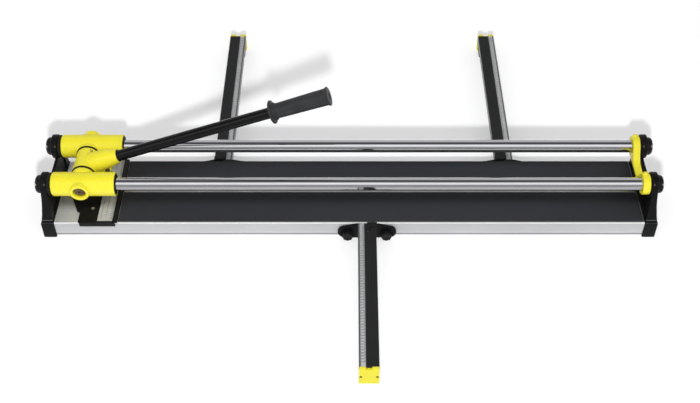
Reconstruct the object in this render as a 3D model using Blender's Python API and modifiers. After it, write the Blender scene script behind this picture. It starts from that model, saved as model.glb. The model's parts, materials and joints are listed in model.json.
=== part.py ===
"""Long manual tile cutter: a base on which the tile lies, two chrome rails above it, a sliding
carriage whose lever carries the scoring wheel and the breaking foot, and three sliding side arms.

Millimetres in this file, converted to metres where a mesh is made. X runs along the rails, +Y is the
rear and +Z is up. The origin is the middle of the base, on the surface that it stands on.
"""
import math

import bmesh
import bpy
from mathutils import Matrix, Vector

MM = 0.001
GAP = 0.3  # clearance between neighbouring solids
SMOOTH_ANGLE = math.radians(35)

# Rails
RAIL_Y = 85.4
RAIL_Z = 177.6
RAIL_R = 20.0
RAIL_WALL = 3.5
RAIL_HALF = 950.0
RAIL_SIDES = 32

# Base
BASE_HALF_LENGTH = 912.4
BASE_HALF_DEPTH = 139.3
BASE_BOTTOM = 7.35
BASE_TOP = 61.6
WALL = 3.0
PLATE = 5.0
SLOT_MOUTH = (12.5, 16.0)
SLOT_TOP = 21.0
SLOT_DEPTH = 12.0
BAR_HALF = 4.3
BAR_FLOOR = 51.6
RIB_Y = 71.5
PORT_Z = 33.5
PORT_R = 6.0
BOLT_R = 3.0

# What lies on the base
PAD_TOP = 67.1
PAD_HALF_DEPTH = 134.7
PAD_X = (-715.0, 911.0)
PAD_MIDDLE_GAP = 10.0
FENCE_X = (-838.0, -717.0)
FENCE_TOP = 67.5
LIP_WIDTH = 14.7
LIP_TOP = 70.0
FENCE_RULER_X = (-778.7, -732.3)
FENCE_SCREW_X = -800.0
FENCE_SCREW_Y = 82.0

# End brackets
BRACKET_INNER = 912.8
BRACKET_OUTER = 953.5
BRACKET_HALF_DEPTH = 142.9
PLATE_INNER = 921.0
PLATE_OUTER = 931.0
EAR_INNER = 915.2
EAR_OUTER = 934.0
SOCKET_END = 937.0
SOCKET_R = 37.5
SOCKET_END_R = 30.0
WEB_TOP = 148.0
POST_INNER_Y = 108.0
# the posts' flared side: (distance from the middle along the rails, height)
POST_SIDE = ((934.0, 172.0), (935.5, 150.0), (939.0, 122.0), (946.0, 85.0), (952.0, 61.0), (952.0, 50.0))
CAP_R = 28.0
CAP_ROUNDING = 10.0
CAP_END = 953.0
SET_SCREW_X = 920.0
SET_SCREW_R = 3.7
SET_SCREW_ANGLE = math.radians(40)

# Stop plate at the far end of the stroke
STOP_X = (889.5, 911.5)
STOP_R = 32.0
STRAP_BOTTOM = 146.5
# the dip between the rings: (distance from the middle, height)
STRAP_DIP = ((48.0, 181.0), (38.0, 167.5), (28.0, 160.5), (16.0, 157.3))
STOP_BOSS_R = 8.0
STOP_BOSS_END = 37.5
STOP_BOSS_ANGLE = math.radians(62)

# Carriage
PIVOT = Vector((-816.0, 0.0, RAIL_Z))
HOUSING_X = (-905.0, -710.1)
HOUSING_R = 36.8
HOUSING_BORE = 23.3
BOSS_OUT_R = 30.0
BOSS_OUT_Y = 127.0
BOSS_IN_R = 35.0
BOSS_IN_Y = 47.0
COUNTERBORE_R = 20.0
COUNTERBORE_Y = 113.0
AXLE_R = 10.0
AXLE_HALF = 60.0
SEAL_WIDTH = 4.6
SEAL_R = 32.0

# Lever, in the plane of the rails' middle; distances run from the pivot along the handle
HANDLE_ANGLE = math.radians(20)
BARREL_R = 35.0
BARREL_HALF = 43.0
# the neck and the tube's socket: (radius, distance)
NECK = ((33.0, 18.0), (32.0, 50.0), (29.0, 80.0), (22.0, 113.0))
TUBE_R = 17.0
TUBE_WALL = 3.0
TUBE = (62.0, 798.0)
GRIP = (622.0, 806.0)
GUARD_R = 36.0
# places from the pivot, along the rails and up
WHEEL_AT = (-33.0, -87.6)
WHEEL_R = 11.0
WHEEL_AXLE_R = 2.5
HOLDER_HALF = 7.0
HOLDER_Z = (-92.0, -40.0)
HOLDER_SCREW_Z = -55.0
HOLDER_SCREW_R = 3.0
BREAKER_AT = (42.0, -46.0)
BREAKER_PIN_R = 5.0
BREAKER_PIN_HALF = 16.0
BREAKER_ARM_HALF = 9.0
BREAKER_HALF_LENGTH = 15.0
BREAKER_HALF_WIDTH = 45.0
LUG_X = 70.0
LUG_BOLT_R = 4.0
GRUB_SCREW_R = 4.0
GRUB_SCREW_ANGLE = math.radians(63)
GRUB_SCREW_Y = 30.0

# Side arms
ARM_WIDTH = 56.3
ARM_BOTTOM = 38.0
ARM_TOP = 66.0
ARM_ROOT = 143.0
# across the arm's top: the rim, the ruler, the groove and the rubber strip
ARM_RIM = 4.6
ARM_GROOVE = (19.2, 20.7)
RULER_SEAT = 64.2
STRIP_SEAT = 62.0
ARM_WALL = 2.5
FLANGE = 11.8
END_CAP_WIDTH = 57.3
FOOT_LENGTH = 44.0
CAP_THICK = 9.0
BRACKET_FACE = 148.0
WING_HALF = 91.0
WING_BOTTOM = 4.0
WING_R = 24.5
WING_TOP = 55.0
KNOB_HALF_SPACING = 60.0
SLOT_BAR_HALF = 69.0
KNOB_Z = 24.0
KNOB_R = 17.0
STUD_R = 4.0
STUD_LENGTH = 7.5
KNOB_END = 166.0
# name, place along the base, side of the base (-1 front, 1 rear), distance of the arm's tip from the middle
ARMS = (
    ("front_arm", 54.6, -1, 684.0),
    ("rear_left_arm", -412.7, 1, 812.8),
    ("rear_right_arm", 505.3, 1, 812.8),
)

# name: (base colour, roughness, metallic)
COLOURS = {
    "yellow_paint": ((0.92, 0.82, 0.03), 0.38, 0.0),
    "black_casting": ((0.018, 0.018, 0.021), 0.45, 0.0),
    "aluminium": ((0.74, 0.75, 0.76), 0.35, 0.9),
    "grey_aluminium": ((0.22, 0.22, 0.225), 0.4, 0.8),
    "ruler_silver": ((0.50, 0.51, 0.52), 0.4, 0.8),
    "chrome": ((0.86, 0.87, 0.88), 0.08, 1.0),
    "pad_rubber": ((0.040, 0.041, 0.046), 0.85, 0.0),
    "black_rubber": ((0.015, 0.015, 0.016), 0.8, 0.0),
    "black_tube": ((0.022, 0.022, 0.024), 0.3, 0.2),
    "zinc_steel": ((0.60, 0.60, 0.60), 0.3, 1.0),
    "dark_steel": ((0.06, 0.06, 0.065), 0.35, 0.8),
    "bronze": ((0.36, 0.20, 0.10), 0.4, 0.8),
    "carbide": ((0.30, 0.31, 0.33), 0.25, 1.0),
}

HOME = {}  # joint empty: its place in the world, in millimetres


# ---------------------------------------------------------------- modelling helpers

def clear_scene():
    for obj in list(bpy.data.objects):
        bpy.data.objects.remove(obj, do_unlink=True)


def new_collection(name):
    collection = bpy.data.collections.new(name)
    bpy.context.scene.collection.children.link(collection)
    return collection


def new_material(name):
    colour, roughness, metallic = COLOURS[name]
    material = bpy.data.materials.new(name)
    material.use_nodes = True
    shader = material.node_tree.nodes["Principled BSDF"]
    shader.inputs["Base Color"].default_value = (*colour, 1.0)
    shader.inputs["Roughness"].default_value = roughness
    shader.inputs["Metallic"].default_value = metallic
    return material


def from_bmesh(bm):
    """A loose object from a bmesh in world millimetres."""
    bmesh.ops.scale(bm, vec=(MM, MM, MM), verts=bm.verts)
    mesh = bpy.data.meshes.new("solid")
    bm.to_mesh(mesh)
    bm.free()
    obj = bpy.data.objects.new("solid", mesh)
    TOOLS.objects.link(obj)
    return obj


def box(x, y, z):
    """A box that spans the ranges x, y and z."""
    low, high = Vector((x[0], y[0], z[0])), Vector((x[1], y[1], z[1]))
    bm = bmesh.new()
    place = Matrix.Translation((low + high) / 2) @ Matrix.Diagonal((*(high - low), 1.0))
    bmesh.ops.create_cube(bm, size=1.0, matrix=place)
    return from_bmesh(bm)


def rod(start, end, radius, end_radius=None, sides=24):
    """A cylinder, or a cone when end_radius is given, from one point to another."""
    start, end = Vector(start), Vector(end)
    along = end - start
    turn = along.to_track_quat("Z", "Y").to_matrix().to_4x4()
    place = Matrix.Translation((start + end) / 2) @ turn
    end_radius = radius if end_radius is None else end_radius
    bm = bmesh.new()
    bmesh.ops.create_cone(bm, cap_ends=True, segments=sides, radius1=radius, radius2=end_radius,
                          depth=along.length, matrix=place)
    return from_bmesh(bm)


def rods(places, radius, axis, span, sides=16):
    """Equal cylinders along one axis, at the given places."""
    return [rod(Vector(p) + axis * span[0], Vector(p) + axis * span[1], radius, sides=sides)
            for p in places]


def settle(obj):
    """Replace an object with modifiers, or a curve, by the closed mesh that it shows."""
    bpy.context.view_layer.update()
    shown = obj.evaluated_get(bpy.context.evaluated_depsgraph_get())
    mesh = bpy.data.meshes.new_from_object(shown)
    mesh.transform(obj.matrix_world)
    bm = bmesh.new()
    bm.from_mesh(mesh)
    bmesh.ops.remove_doubles(bm, verts=bm.verts, dist=0.000002)
    bmesh.ops.recalc_face_normals(bm, faces=bm.faces)
    bm.to_mesh(mesh)
    bm.free()
    bpy.data.objects.remove(obj, do_unlink=True)
    settled = bpy.data.objects.new("solid", mesh)
    TOOLS.objects.link(settled)
    return settled


OUTLINE_TURN = {
    "X": Matrix(((0, 0, 1, 0), (1, 0, 0, 0), (0, 1, 0, 0), (0, 0, 0, 1))),
    "Y": Matrix(((1, 0, 0, 0), (0, 0, -1, 0), (0, 1, 0, 0), (0, 0, 0, 1))),
    "Z": Matrix.Identity(4),
}


def outline(points, axis, span):
    """A flat outline, given in the two other axes, extruded along an axis from span[0] to span[1]."""
    curve = bpy.data.curves.new("outline", "CURVE")
    curve.dimensions = "2D"
    curve.fill_mode = "BOTH"
    curve.extrude = abs(span[1] - span[0]) / 2 * MM
    spline = curve.splines.new("POLY")
    spline.points.add(len(points) - 1)
    for point, (a, b) in zip(spline.points, points):
        point.co = (a * MM, b * MM, 0.0, 1.0)
    spline.use_cyclic_u = True
    obj = bpy.data.objects.new("outline", curve)
    TOOLS.objects.link(obj)
    middle = {"X": (1, 0, 0), "Y": (0, 1, 0), "Z": (0, 0, 1)}[axis]
    obj.matrix_world = (
        Matrix.Translation(Vector(middle) * (span[0] + span[1]) / 2 * MM) @ OUTLINE_TURN[axis]
    )
    return settle(obj)


def turned(profile, start, direction, sides=32, ring=False):
    """A profile of (radius, distance along) points turned about a line; ring closes the profile."""
    mesh = bpy.data.meshes.new("profile")
    count = len(profile)
    edges = [(i, i + 1) for i in range(count - 1)] + ([(count - 1, 0)] if ring else [])
    mesh.from_pydata([(r * MM, 0.0, h * MM) for r, h in profile], edges, [])
    obj = bpy.data.objects.new("turned", mesh)
    TOOLS.objects.link(obj)
    turn = Vector(direction).to_track_quat("Z", "Y").to_matrix().to_4x4()
    obj.matrix_world = Matrix.Translation(Vector(start) * MM) @ turn
    screw = obj.modifiers.new("turn", "SCREW")
    screw.steps = sides
    screw.render_steps = sides
    screw.use_merge_vertices = True
    screw.merge_threshold = 0.00001
    return settle(obj)


def ring(inner, outer, start, direction, length, sides=32):
    """A plain sleeve."""
    profile = [(outer, length), (outer, 0.0), (inner, 0.0), (inner, length)]
    return turned(profile, start, direction, sides, ring=True)


def arc(centre, radius, start, end, steps):
    """Points along an arc; angles in degrees."""
    return [
        (centre[0] + radius * math.cos(math.radians(start + (end - start) * i / steps)),
         centre[1] + radius * math.sin(math.radians(start + (end - start) * i / steps)))
        for i in range(steps + 1)
    ]


def round_edges(obj, width, segments=2):
    """A Bevel on the sharp edges."""
    bevel = obj.modifiers.new("rounded edges", "BEVEL")
    bevel.width = width * MM
    bevel.segments = segments
    bevel.limit_method = "ANGLE"
    bevel.angle_limit = math.radians(40)
    return settle(obj)


def attach(obj, home):
    """Hang an object on its joint's empty without moving it."""
    if home:
        obj.parent = bpy.data.objects[home]
        obj.location = obj.location - HOME[home] * MM


def part(name, material, solids, cuts=(), home=None):
    """A named sub-part: the first solid, joined with the others and cut by the cutters."""
    obj = solids[0]
    for operation, operands in (("UNION", solids[1:]), ("DIFFERENCE", cuts)):
        for operand in operands:
            boolean = obj.modifiers.new(operation.lower(), "BOOLEAN")
            boolean.operation = operation
            boolean.solver = "EXACT"
            boolean.object = operand
            operand.name = name + "_tool"
            operand.hide_render = True
            operand.display_type = "WIRE"
            attach(operand, home)
    finish_part(obj, name, material, home)
    return obj


def finish_part(obj, name, material, home):
    obj.name = name
    obj.data.name = name
    obj.data.materials.clear()
    obj.data.materials.append(MATERIALS[material])
    obj.data.shade_smooth()
    obj.data.set_sharp_from_angle(angle=SMOOTH_ANGLE)
    TOOLS.objects.unlink(obj)
    PARTS.objects.link(obj)
    attach(obj, home)


def joint_empty(name, place, parent=None):
    """An empty on a joint's axis."""
    empty = bpy.data.objects.new(name, None)
    empty.empty_display_size = 0.03
    PARTS.objects.link(empty)
    HOME[name] = Vector(place)
    empty.location = HOME[name] * MM
    if parent:
        empty.parent = bpy.data.objects[parent]
        empty.location = (HOME[name] - HOME[parent]) * MM
    return name


def both(points):
    """A half outline, given for the positive first axis, and its mirror image."""
    return list(points) + [(-a, b) for a, b in reversed(points)]


def ordered(a, b):
    return (min(a, b), max(a, b))


X, Y, Z = Vector((1, 0, 0)), Vector((0, 1, 0)), Vector((0, 0, 1))


# ---------------------------------------------------------------- base

def base_section():
    """The extrusion's half section: top plate, T-slot wall, ribs and feet, open below."""
    wall = BASE_HALF_DEPTH
    lip = wall - WALL
    back = wall - SLOT_DEPTH
    under = BASE_TOP - PLATE
    low = BASE_BOTTOM
    foot = BASE_BOTTOM + WALL
    return [
        (BAR_HALF + GAP, BAR_FLOOR), (BAR_HALF + GAP, BASE_TOP), (wall, BASE_TOP),
        (wall, SLOT_MOUTH[1]), (lip, SLOT_MOUTH[1]), (lip, SLOT_TOP), (back, SLOT_TOP), (back, foot),
        (lip, foot), (lip, SLOT_MOUTH[0]), (wall, SLOT_MOUTH[0]), (wall, low), (112.0, low),
        (112.0, foot), (back - WALL, foot), (back - WALL, SLOT_TOP + WALL), (lip, SLOT_TOP + WALL),
        (lip, under),
        (RIB_Y + 1.5, under), (RIB_Y + 1.5, foot), (RIB_Y + 9, foot), (RIB_Y + 9, low),
        (RIB_Y - 9, low), (RIB_Y - 9, foot), (RIB_Y - 1.5, foot), (RIB_Y - 1.5, under),
        (BAR_HALF + WALL, under), (BAR_HALF + WALL, BAR_FLOOR - 1.5), (1.5, BAR_FLOOR - WALL),
        (1.5, foot), (20.0, foot), (20.0, low),
    ]


def build_base():
    ends = (-BASE_HALF_LENGTH, BASE_HALF_LENGTH)
    profile = outline(both(base_section()), "X", ends)
    port_end = BASE_HALF_LENGTH - 1
    ports = [rod((-port_end, s * RIB_Y, PORT_Z), (port_end, s * RIB_Y, PORT_Z), PORT_R, sides=12)
             for s in (-1, 1)]
    past = BASE_HALF_LENGTH + 5
    bores = [rod((-past, s * RIB_Y, PORT_Z), (past, s * RIB_Y, PORT_Z), BOLT_R + GAP, sides=12)
             for s in (-1, 1)]
    fence_holes = rods([(FENCE_SCREW_X, s * FENCE_SCREW_Y, 0) for s in (-1, 1)],
                       BOLT_R + GAP, Z, (BASE_TOP - 8, BASE_TOP + 5), sides=12)
    part("base_profile", "aluminium", [profile] + ports, bores + fence_holes)

    for name, side in (("pad_front", -1), ("pad_rear", 1)):
        depth = ordered(side * PAD_MIDDLE_GAP, side * PAD_HALF_DEPTH)
        part(name, "pad_rubber", [box(PAD_X, depth, (BASE_TOP + GAP, PAD_TOP))])
    bar = box((PAD_X[0] + 3, PAD_X[1] - 3), (-BAR_HALF, BAR_HALF), (BAR_FLOOR + GAP, PAD_TOP - 0.5))
    part("breaker_bar", "zinc_steel", [bar])

    foot_top = BASE_BOTTOM - GAP
    foot = [(0, foot_top), (18, foot_top), (18, 1), (17, 0), (0, 0)]
    part("middle_foot", "black_rubber", [turned(foot, (0, 0, 0), Z, sides=24)])


def build_fence():
    """The scale bar across the base against which the tile is laid."""
    left, right = FENCE_X
    depth = BASE_HALF_DEPTH + GAP
    half_plan = [(left, depth), (left, 100.0), (left - 10, 92.0), (left - 34, 36.0)]
    plan = [(x, y) for x, y in half_plan] + [(x, -y) for x, y in reversed(half_plan)]
    plan += [(right, -depth), (right, depth)]
    body = outline(plan, "Z", (BASE_TOP + GAP, FENCE_TOP))
    lip = box((right - LIP_WIDTH, right), (-depth, depth), (BASE_TOP + GAP, LIP_TOP))
    hooks = [box((left + 4, right - 7), ordered(s * (depth - 1), s * (depth + 4)), (51.0, FENCE_TOP))
             for s in (-1, 1)]
    over_edge = box((left - 1, right + 1), (-depth, depth), (40.0, BASE_TOP + GAP))
    seat = box((FENCE_RULER_X[0] - GAP, FENCE_RULER_X[1] + GAP), (-depth - 9, depth + 9),
               (FENCE_TOP - 1.3, FENCE_TOP + 5))
    holes = rods([(FENCE_SCREW_X, s * FENCE_SCREW_Y, 0) for s in (-1, 1)], BOLT_R + GAP, Z,
                 (BASE_TOP - 2, FENCE_TOP + 2), sides=12)
    part("fence_body", "black_casting", [body, lip] + hooks, [over_edge, seat] + holes)
    ruler = box(FENCE_RULER_X, (-depth + 4, depth - 4), (FENCE_TOP - 1.0, FENCE_TOP + 0.8))
    part("fence_ruler", "ruler_silver", [ruler])


def bracket_plate_outline():
    """The upright plate of an end bracket, with a rounded ear round each rail."""
    edge = math.degrees(math.asin((WEB_TOP - RAIL_Z) / SOCKET_R))
    ear = arc((RAIL_Y, RAIL_Z), SOCKET_R, 0, 180 - edge, 16)
    return both([(BRACKET_HALF_DEPTH - 0.5, BASE_TOP - 12)] + ear)


def build_end_brackets():
    for name, side in (("end_bracket_left", -1), ("end_bracket_right", 1)):
        foot = box(ordered(side * BRACKET_INNER, side * BRACKET_OUTER),
                   (-BRACKET_HALF_DEPTH, BRACKET_HALF_DEPTH), (0, BASE_TOP))
        foot = round_edges(foot, 4.0)
        plate = outline(bracket_plate_outline(), "X", ordered(side * PLATE_INNER, side * PLATE_OUTER))
        posts, slopes, sockets, bores, screw_holes = [], [], [], [], []
        for s in (-1, 1):
            post = [(EAR_INNER, POST_SIDE[-1][1]), (EAR_INNER, POST_SIDE[0][1])] + list(POST_SIDE)
            posts.append(outline([(side * a, z) for a, z in post], "Y",
                                 ordered(s * POST_INNER_Y, s * (BRACKET_HALF_DEPTH - 0.5))))
            ear_side = RAIL_Y + SOCKET_R + 0.2
            slope = [(BRACKET_HALF_DEPTH, BASE_TOP - 2), (BRACKET_HALF_DEPTH + 20, BASE_TOP - 2),
                     (BRACKET_HALF_DEPTH + 20, 220.0), (ear_side, 220.0), (ear_side, RAIL_Z)]
            slopes.append(outline([(s * y, z) for y, z in slope], "X",
                                  ordered(side * (EAR_INNER - 5), side * (BRACKET_OUTER + 5))))
        for y in (-RAIL_Y, RAIL_Y):
            sockets.append(rod((side * EAR_INNER, y, RAIL_Z), (side * EAR_OUTER, y, RAIL_Z), SOCKET_R,
                               sides=RAIL_SIDES))
            sockets.append(rod((side * (EAR_OUTER - 1), y, RAIL_Z), (side * SOCKET_END, y, RAIL_Z),
                               SOCKET_R - 1.5, SOCKET_END_R, sides=RAIL_SIDES))
            bores.append(rod((side * 900, y, RAIL_Z), (side * 960, y, RAIL_Z), RAIL_R + GAP,
                             sides=RAIL_SIDES))
            screw_holes.append(set_screw_hole(side, y))
        bolt_holes = []
        for y in (-RIB_Y, RIB_Y):
            bolt_holes.append(rod((side * 900, y, PORT_Z), (side * 960, y, PORT_Z), BOLT_R + GAP,
                                  sides=12))
            bolt_holes.append(rod((side * 946, y, PORT_Z), (side * 960, y, PORT_Z), 6.5, sides=12))
        part(name, "black_casting", [foot, plate] + posts + sockets,
             slopes + bores + screw_holes + bolt_holes)


def set_screw_hole(side, y):
    """The hole of the screw that holds a rail, which points at its axis from the front and above."""
    outward = Vector((0, -math.cos(SET_SCREW_ANGLE), math.sin(SET_SCREW_ANGLE)))
    middle = Vector((side * SET_SCREW_X, y, RAIL_Z))
    return rod(middle + outward * (RAIL_R - 2), middle + outward * (SOCKET_R + 8), SET_SCREW_R, sides=12)


def build_rails():
    for name, y in (("front_rail", -RAIL_Y), ("rear_rail", RAIL_Y)):
        part(name, "chrome", [ring(RAIL_R - RAIL_WALL, RAIL_R, (-RAIL_HALF, y, RAIL_Z), X,
                                   2 * RAIL_HALF, sides=RAIL_SIDES)])
    depth = CAP_END - SOCKET_END - GAP
    profile = [(0, depth)] + [
        (CAP_R - CAP_ROUNDING * (1 - math.sin(a)), depth - CAP_ROUNDING * (1 - math.cos(a)))
        for a in (0, math.pi / 6, math.pi / 3, math.pi / 2)]
    profile += [(CAP_R, 0), (RAIL_R + GAP, 0), (RAIL_R + GAP, RAIL_HALF + GAP - SOCKET_END),
                (0, RAIL_HALF + GAP - SOCKET_END)]
    for end, side in (("left", -1), ("right", 1)):
        for rail, y in (("front", -RAIL_Y), ("rear", RAIL_Y)):
            start = (side * (SOCKET_END + GAP), y, RAIL_Z)
            part(f"{rail}_rail_cap_{end}", "black_rubber",
                 [turned(profile, start, X * side, sides=RAIL_SIDES)])


def build_stop_plate():
    """The tie between the rails where the carriage's stroke ends."""
    low = math.degrees(math.asin((STRAP_BOTTOM - RAIL_Z) / STOP_R))
    half = arc((RAIL_Y, RAIL_Z), STOP_R, -180 - low, 148, 22) + list(STRAP_DIP)
    tie = outline(both(half), "X", STOP_X)
    bosses, bores = [], []
    out = Vector((0, math.cos(STOP_BOSS_ANGLE), math.sin(STOP_BOSS_ANGLE)))
    for y in (-RAIL_Y, RAIL_Y):
        axis = Vector((sum(STOP_X) / 2, y, RAIL_Z))
        bosses.append(rod(axis + out * (STOP_R - 8), axis + out * STOP_BOSS_END, STOP_BOSS_R, sides=16))
        bores.append(rod(axis - X * 30, axis + X * 30, RAIL_R + GAP, sides=RAIL_SIDES))
    part("stop_plate", "yellow_paint", [tie] + bosses, bores)


# ---------------------------------------------------------------- carriage

def build_carriage():
    home = joint_empty("carriage_joint", PIVOT)
    length = HOUSING_X[1] - HOUSING_X[0]
    round_end = [(HOUSING_R - 8 + 8 * math.sin(a), length - 8 + 8 * math.cos(a))
                 for a in (0, math.pi / 6, math.pi / 3, math.pi / 2)]
    shell = [(HOUSING_BORE, length)] + round_end + [
        (HOUSING_R, 1.5), (HOUSING_R - 1.5, 0), (SEAL_R + GAP, 0), (SEAL_R + GAP, SEAL_WIDTH + GAP),
        (HOUSING_BORE, SEAL_WIDTH + GAP)]
    for name, side in (("front", -1), ("rear", 1)):
        y = side * RAIL_Y
        right = Vector((HOUSING_X[1], y, RAIL_Z))
        sleeve = turned(shell, right, -X, sides=RAIL_SIDES, ring=True)
        at = Vector((PIVOT.x, 0, RAIL_Z))
        outer = rod(at + Y * side * (RAIL_Y + 26), at + Y * side * BOSS_OUT_Y, BOSS_OUT_R, sides=RAIL_SIDES)
        inner = rod(at + Y * side * BOSS_IN_Y, at + Y * side * (RAIL_Y - 25), BOSS_IN_R, sides=RAIL_SIDES)
        counterbore = rod(at + Y * side * COUNTERBORE_Y, at + Y * side * (BOSS_OUT_Y + 5), COUNTERBORE_R)
        blind = rod(at + Y * side * (BOSS_IN_Y - 5), at + Y * side * (AXLE_HALF + GAP), AXLE_R + GAP)
        part("housing_" + name, "yellow_paint", [sleeve, outer, inner], [counterbore, blind], home)
        bush = ring(RAIL_R + GAP, HOUSING_BORE - GAP, right - X * (SEAL_WIDTH + 6), -X,
                    length - SEAL_WIDTH - 16, sides=RAIL_SIDES)
        part("bush_" + name, "bronze", [bush], home=home)
        seal = ring(RAIL_R + 0.4, SEAL_R, right + X * 0.4, -X, SEAL_WIDTH, sides=RAIL_SIDES)
        part("wiper_seal_" + name, "black_rubber", [seal], home=home)
    axle = rod(PIVOT - Y * AXLE_HALF, PIVOT + Y * AXLE_HALF, AXLE_R)
    part("pivot_axle", "zinc_steel", [axle], home=home)


# ---------------------------------------------------------------- lever

def on_handle(distance, offset=0.0, y=0.0):
    """A point at a distance along the handle's axis, and an offset at right angles to it, upwards."""
    along = Vector((math.cos(HANDLE_ANGLE), 0, math.sin(HANDLE_ANGLE)))
    up = Vector((-math.sin(HANDLE_ANGLE), 0, math.cos(HANDLE_ANGLE)))
    return PIVOT + along * distance + up * offset + Y * y


def across(place, half, radius, sides=24):
    """A rod along Y, at a place (x, z) from the pivot."""
    middle = PIVOT + Vector((place[0], 0, place[1]))
    return rod(middle - Y * half, middle + Y * half, radius, sides=sides)


def build_lever():
    home = joint_empty("lever_joint", PIVOT, "carriage_joint")
    barrel = across((0, 0), BARREL_HALF, BARREL_R, sides=RAIL_SIDES)
    neck = turned([(0, NECK[-1][1])] + list(reversed(NECK)) + [(0, NECK[0][1])], PIVOT,
                  on_handle(1) - PIVOT)
    px, pz = PIVOT.x, PIVOT.z
    wheel_x, wheel_z = WHEEL_AT
    room = HOLDER_HALF + GAP
    holder_block = box((px + wheel_x - 13, px + wheel_x + 15), (-13, 13), (pz - 66, pz - 14))
    breaker_arm = outline(
        [(px + 2, pz - 22)] + arc((px + BREAKER_AT[0], pz + BREAKER_AT[1]), 14, -140, 30, 10)
        + [(px + 48, pz)], "Y", (-BREAKER_ARM_HALF, BREAKER_ARM_HALF))
    bolt_lug = box((px + LUG_X - 12, px + LUG_X + 12), (-22, 22), (pz - 10, pz + 14))
    spring_room = rod(PIVOT - Y * (BARREL_HALF + 4), PIVOT - Y * 31, 16.0)
    cuts = [
        across((0, 0), BARREL_HALF + 6, AXLE_R + GAP),
        spring_room,
        rod(on_handle(TUBE[0] - GAP), on_handle(NECK[-1][1] + 5), TUBE_R + GAP, sides=32),
        box((px + wheel_x - room, px + wheel_x + room), (-room, room), (pz - 80, pz + HOLDER_Z[1] + GAP)),
        across(BREAKER_AT, BREAKER_ARM_HALF + 5, BREAKER_PIN_R + GAP, 16),
        across((LUG_X, 0), 30, LUG_BOLT_R + GAP, 12),
        rod(PIVOT + Vector((wheel_x + HOLDER_HALF, 0, HOLDER_SCREW_Z)),
            PIVOT + Vector((wheel_x + 30, 0, HOLDER_SCREW_Z)), HOLDER_SCREW_R + GAP, sides=12),
        rod(grub_screw_at(12), grub_screw_at(45), GRUB_SCREW_R + GAP, sides=12),
    ]
    part("lever_head", "yellow_paint", [barrel, neck, holder_block, breaker_arm, bolt_lug], cuts, home)

    part("return_spring", "zinc_steel",
         [ring(AXLE_R + 1, 15.0, PIVOT - Y * 31.4, -Y, 11.0, sides=24)], home=home)
    tube = ring(TUBE_R - TUBE_WALL, TUBE_R, on_handle(TUBE[0]), on_handle(1) - on_handle(0),
                TUBE[1] - TUBE[0])
    part("lever_tube", "black_tube", [tube], home=home)
    grip_length = GRIP[1] - GRIP[0]
    bore = TUBE_R + GAP
    grip = [(0, grip_length), (27, grip_length), (29, grip_length - 2), (29, grip_length - 5),
            (25.6, grip_length - 9), (25.2, grip_length - 40), (23, 30), (23, 17), (27, 15), (27, 9),
            (GUARD_R - 1.5, 8), (GUARD_R, 6), (GUARD_R, 2), (GUARD_R - 1.5, 0), (bore, 0),
            (bore, TUBE[1] - GRIP[0] + GAP), (0, TUBE[1] - GRIP[0] + GAP)]
    part("handle_grip", "black_rubber", [turned(grip, on_handle(GRIP[0]), on_handle(1) - on_handle(0))],
         home=home)

    holder = box((px + wheel_x - HOLDER_HALF, px + wheel_x + HOLDER_HALF), (-HOLDER_HALF, HOLDER_HALF),
                 (pz + HOLDER_Z[0], pz + HOLDER_Z[1]))
    wheel_slot = box((px + wheel_x - 20, px + wheel_x + 20), (-2.2, 2.2), (pz - 100, pz - 74))
    part("wheel_holder", "zinc_steel", [holder],
         [wheel_slot, across(WHEEL_AT, 12, WHEEL_AXLE_R + GAP, 16)], home)
    part("wheel_axle", "dark_steel", [across(WHEEL_AT, HOLDER_HALF - 0.2, WHEEL_AXLE_R, 16)], home=home)

    part("breaker_pin", "zinc_steel", [across(BREAKER_AT, BREAKER_PIN_HALF, BREAKER_PIN_R, 16)], home=home)

    wheel_home = joint_empty("wheel_joint", PIVOT + Vector((wheel_x, 0, wheel_z)), "lever_joint")
    bore = WHEEL_AXLE_R + GAP
    rim = [(WHEEL_R, 0), (WHEEL_R - 2.6, 1.5), (bore, 1.5), (bore, -1.5), (WHEEL_R - 2.6, -1.5)]
    wheel = turned(list(reversed(rim)), PIVOT + Vector((wheel_x, 0, wheel_z)), Y, sides=32, ring=True)
    part("scoring_wheel", "carbide", [wheel], home=wheel_home)

    foot_home = joint_empty("breaker_joint", PIVOT + Vector((BREAKER_AT[0], 0, BREAKER_AT[1])),
                            "lever_joint")
    fx, fz = px + BREAKER_AT[0], pz + BREAKER_AT[1]
    span_x = (fx - BREAKER_HALF_LENGTH, fx + BREAKER_HALF_LENGTH)
    span_y = (-BREAKER_HALF_WIDTH, BREAKER_HALF_WIDTH)
    cheeks = [outline([(span_x[1], fz - 34), (span_x[1], fz - 22)] + arc((fx, fz), 11, 0, 180, 10)
                      + [(span_x[0], fz - 22), (span_x[0], fz - 34)], "Y",
                      ordered(s * (BREAKER_ARM_HALF + 0.5), s * 18))
              for s in (-1, 1)]
    beam = box(span_x, span_y, (fz - 36, fz - 24))
    pin_hole = across(BREAKER_AT, BREAKER_PIN_HALF + 0.4, BREAKER_PIN_R + GAP, 16)
    part("breaker_foot", "yellow_paint", [beam] + cheeks, [pin_hole], foot_home)
    pad = box(span_x, span_y, (fz - 43, fz - 36 - GAP))
    part("breaker_pad", "black_rubber", [round_edges(pad, 2.0)], home=foot_home)


def grub_screw_at(distance):
    """A point on the grub screw's line, at a distance from the pivot's axis."""
    outward = Vector((math.cos(GRUB_SCREW_ANGLE), 0, math.sin(GRUB_SCREW_ANGLE)))
    return PIVOT + outward * distance + Y * GRUB_SCREW_Y


# ---------------------------------------------------------------- side arms

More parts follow.
